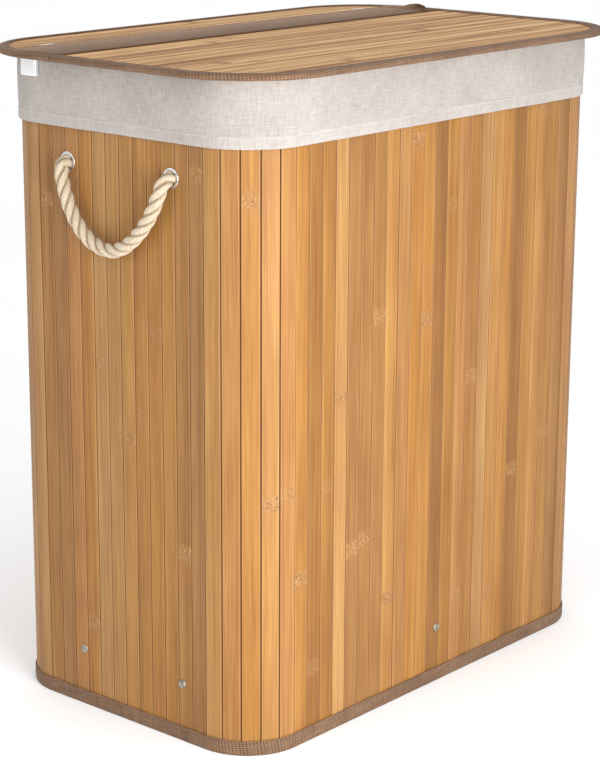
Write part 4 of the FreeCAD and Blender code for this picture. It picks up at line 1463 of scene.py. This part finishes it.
def make_tab(side, word):
    """A tab with two round lower corners, bowed a little, and its stitches."""
    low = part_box(word + "_lid_tab")[0]
    y_low, z_low = low.y, low.z
    y_high = y_low + tab_width
    y_middle, half = (y_low + y_high) / 2, (y_high - y_low) / 2
    rows, columns, radius = 16, 16, 0.9 * MM
    points = []
    for i in range(rows + 1):
        for j in range(columns + 1):
            y = y_low + (y_high - y_low) * j / columns
            z = z_low + (tab_top - z_low) * i / rows
            over_y = max(0.0, abs(y - y_middle) - half + radius)
            over_z = max(0.0, z_low + radius - z)
            reach = math.hypot(over_y, over_z)
            if reach > radius:
                pull = 1 - radius / reach
                y = math.copysign(abs(y - y_middle) - over_y * pull, y - y_middle) + y_middle
                z += over_z * pull
            bow = 0.35 * math.sin(math.pi * j / columns)
            bow += 0.25 * noise.noise(Vector((y * 90, z * 90, side)))
            points.append((side * (tab_face + bow * MM), y, z))
    faces = sheet_faces(rows, columns, flip=True)
    tab = new_piece(word + "_closing_tab", points,
                    faces if side < 0 else [face[::-1] for face in faces])
    thicken(tab, 1.0 * MM, 0.0)
    label(tab, "lid_rear", [word + "_lid_tab"], tab_weave)
    edge, front = tab_face + 0.62 * MM, y_low + 2.6 * MM
    sew(word + "_tab_seam", [(side * edge, front, z_low + 1.5 * MM),
                             (side * (edge + 0.1 * MM), front, tab_top - 1 * MM)],
        "lid_rear", cream_thread, pitch=2.6 * MM, width=0.6 * MM)
    # The dense tack that holds the tab's strap goes right through the lid.
    tack = [(side * x * MM, (124.2 + 5.0 * (i % 2)) * MM, 612.75 * MM)
            for i, x in enumerate(np.linspace(214.5, 230.5, 23))]
    sew(word + "_tab_tack", tack, "lid_rear", cream_thread,
        pitch=1.1 * MM, width=1.1 * MM)


for side, word in sides:
    make_tab(side, word)


# %% The knots behind the wall
knot_radius, knot_depth, knot_middle = 13.6 * MM, 11.6, 243.2


def make_knots(side, word):
    rows, around = 22, 32
    points, faces = [], []
    for end in (-1, 1):
        faces += ring_faces(rows + 1, around, len(points))
        for i in range(rows + 1):
            t = math.pi * i / rows
            deep = knot_middle - knot_depth * math.cos(t)
            for j in range(around):
                angle = 2 * math.pi * j / around
                wrap = abs(math.cos(1.5 * angle + 3.2 * t))
                size = (0.86 + 0.13 * wrap) * math.sin(t) ** 0.62
                points.append((side * deep * MM,
                               end * eyelet_y + knot_radius * size * math.cos(angle),
                               eyelet_z + knot_radius * size * math.sin(angle)))
    knots = face_outwards(new_piece(word + "_rope_knots", points, faces,
                                    [(0.0, 0.0)] * 4 * len(faces)))
    # The knots take fixed values, so they get little of the rope's painted groove shade.
    for mark, value in (("yarn_crest", 0.8), ("strand_outside", 0.9)):
        layer = knots.data.attributes.new(mark, "FLOAT", "POINT")
        layer.data.foreach_set("value", [value] * len(knots.data.vertices))
    label(knots, "hamper", [word + "_rope_ends"], cotton_rope)


for side, word in sides:
    make_knots(side, word)

# %% Finishes of the parts that keep their CAD shape
kept_parts = {
    backing: ["wall_cloth", "base_cloth", "lid_flap_backing", "lid_rear_backing"],
    brown_band: ["top_binding", "lid_flap_hinge_leaf", "lid_band_board"],
    canvas: ["top_hoop_sleeve", "base_hoop_loops", "base_hinge_tape"],
    steel_wire: ["top_hoop", "base_hoop", "lid_flap_wire", "lid_rear_wire"],
    rivet_nickel: ["wall_rivets", "rivet_washers"],
    nickel: ["left_eyelets", "right_eyelets", "left_eyelet_washers", "right_eyelet_washers"],
    fibre_board: ["base_board_left", "base_board_right"],
    tab_weave: ["left_tab_pad", "right_tab_pad"],
}
for finish, names in kept_parts.items():
    for name in names:
        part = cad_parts[name]
        part.data.materials.clear()
        part.data.materials.append(finish)
print(sum(len(names) for names in kept_parts.values()), "parts keep their CAD shape")

# %% [markdown]
# ## Floor and light
#
# A catalogue picture has a white floor that runs out of sight, a soft light close to
# the front, a weaker one behind the left side, and enough light from all round to keep
# every side readable. The display transform is set to Standard, so that a white floor is white
# and the bamboo keeps its warm colour.

# %% Floor
bpy.ops.mesh.primitive_plane_add(size=60, location=(0, 0, 0))
floor = bpy.context.object
floor.name = "studio_floor"
floor_finish, floor_tree, floor_shader = new_finish("pale floor", 0.75, Specular_IOR_Level=0.2)
floor_cloud = grains(floor_tree, place_on(floor_tree, "Object"), (2, 2, 2), 2)
floor_colour = ramp(floor_tree, floor_cloud, [
    (0.3, (0.89, 0.895, 0.905, 1)), (0.7, (0.905, 0.91, 0.92, 1))])
floor_tree.links.new(floor_colour, floor_shader.inputs["Base Color"])
floor.data.materials.append(floor_finish)

# %% Lights
world = bpy.data.worlds.new("studio")
bpy.context.scene.world = world
world.use_nodes = True
surround = world.node_tree.nodes["Background"].inputs
surround["Color"].default_value, surround["Strength"].default_value = (1.0, 1.0, 1.0, 1), 1.1


def soft_light(name, place, aim, size, power):
    data = bpy.data.lights.new(name, "AREA")
    data.shape, data.size, data.energy = "SQUARE", size, power
    light = bpy.data.objects.new(name, data)
    bpy.context.scene.collection.objects.link(light)
    light.location = place
    light.visible_camera = False
    light.rotation_euler = (Vector(aim) - Vector(place)).to_track_quat("-Z", "Y").to_euler()


soft_light("key", (-0.54, -0.98, 0.44), (-0.10, -0.16, 0.30), 0.6, 12)
soft_light("side", (-1.7, 0.9, 0.75), (-0.26, 0, 0.42), 0.45, 2.5)
bpy.context.scene.view_settings.view_transform = "Standard"
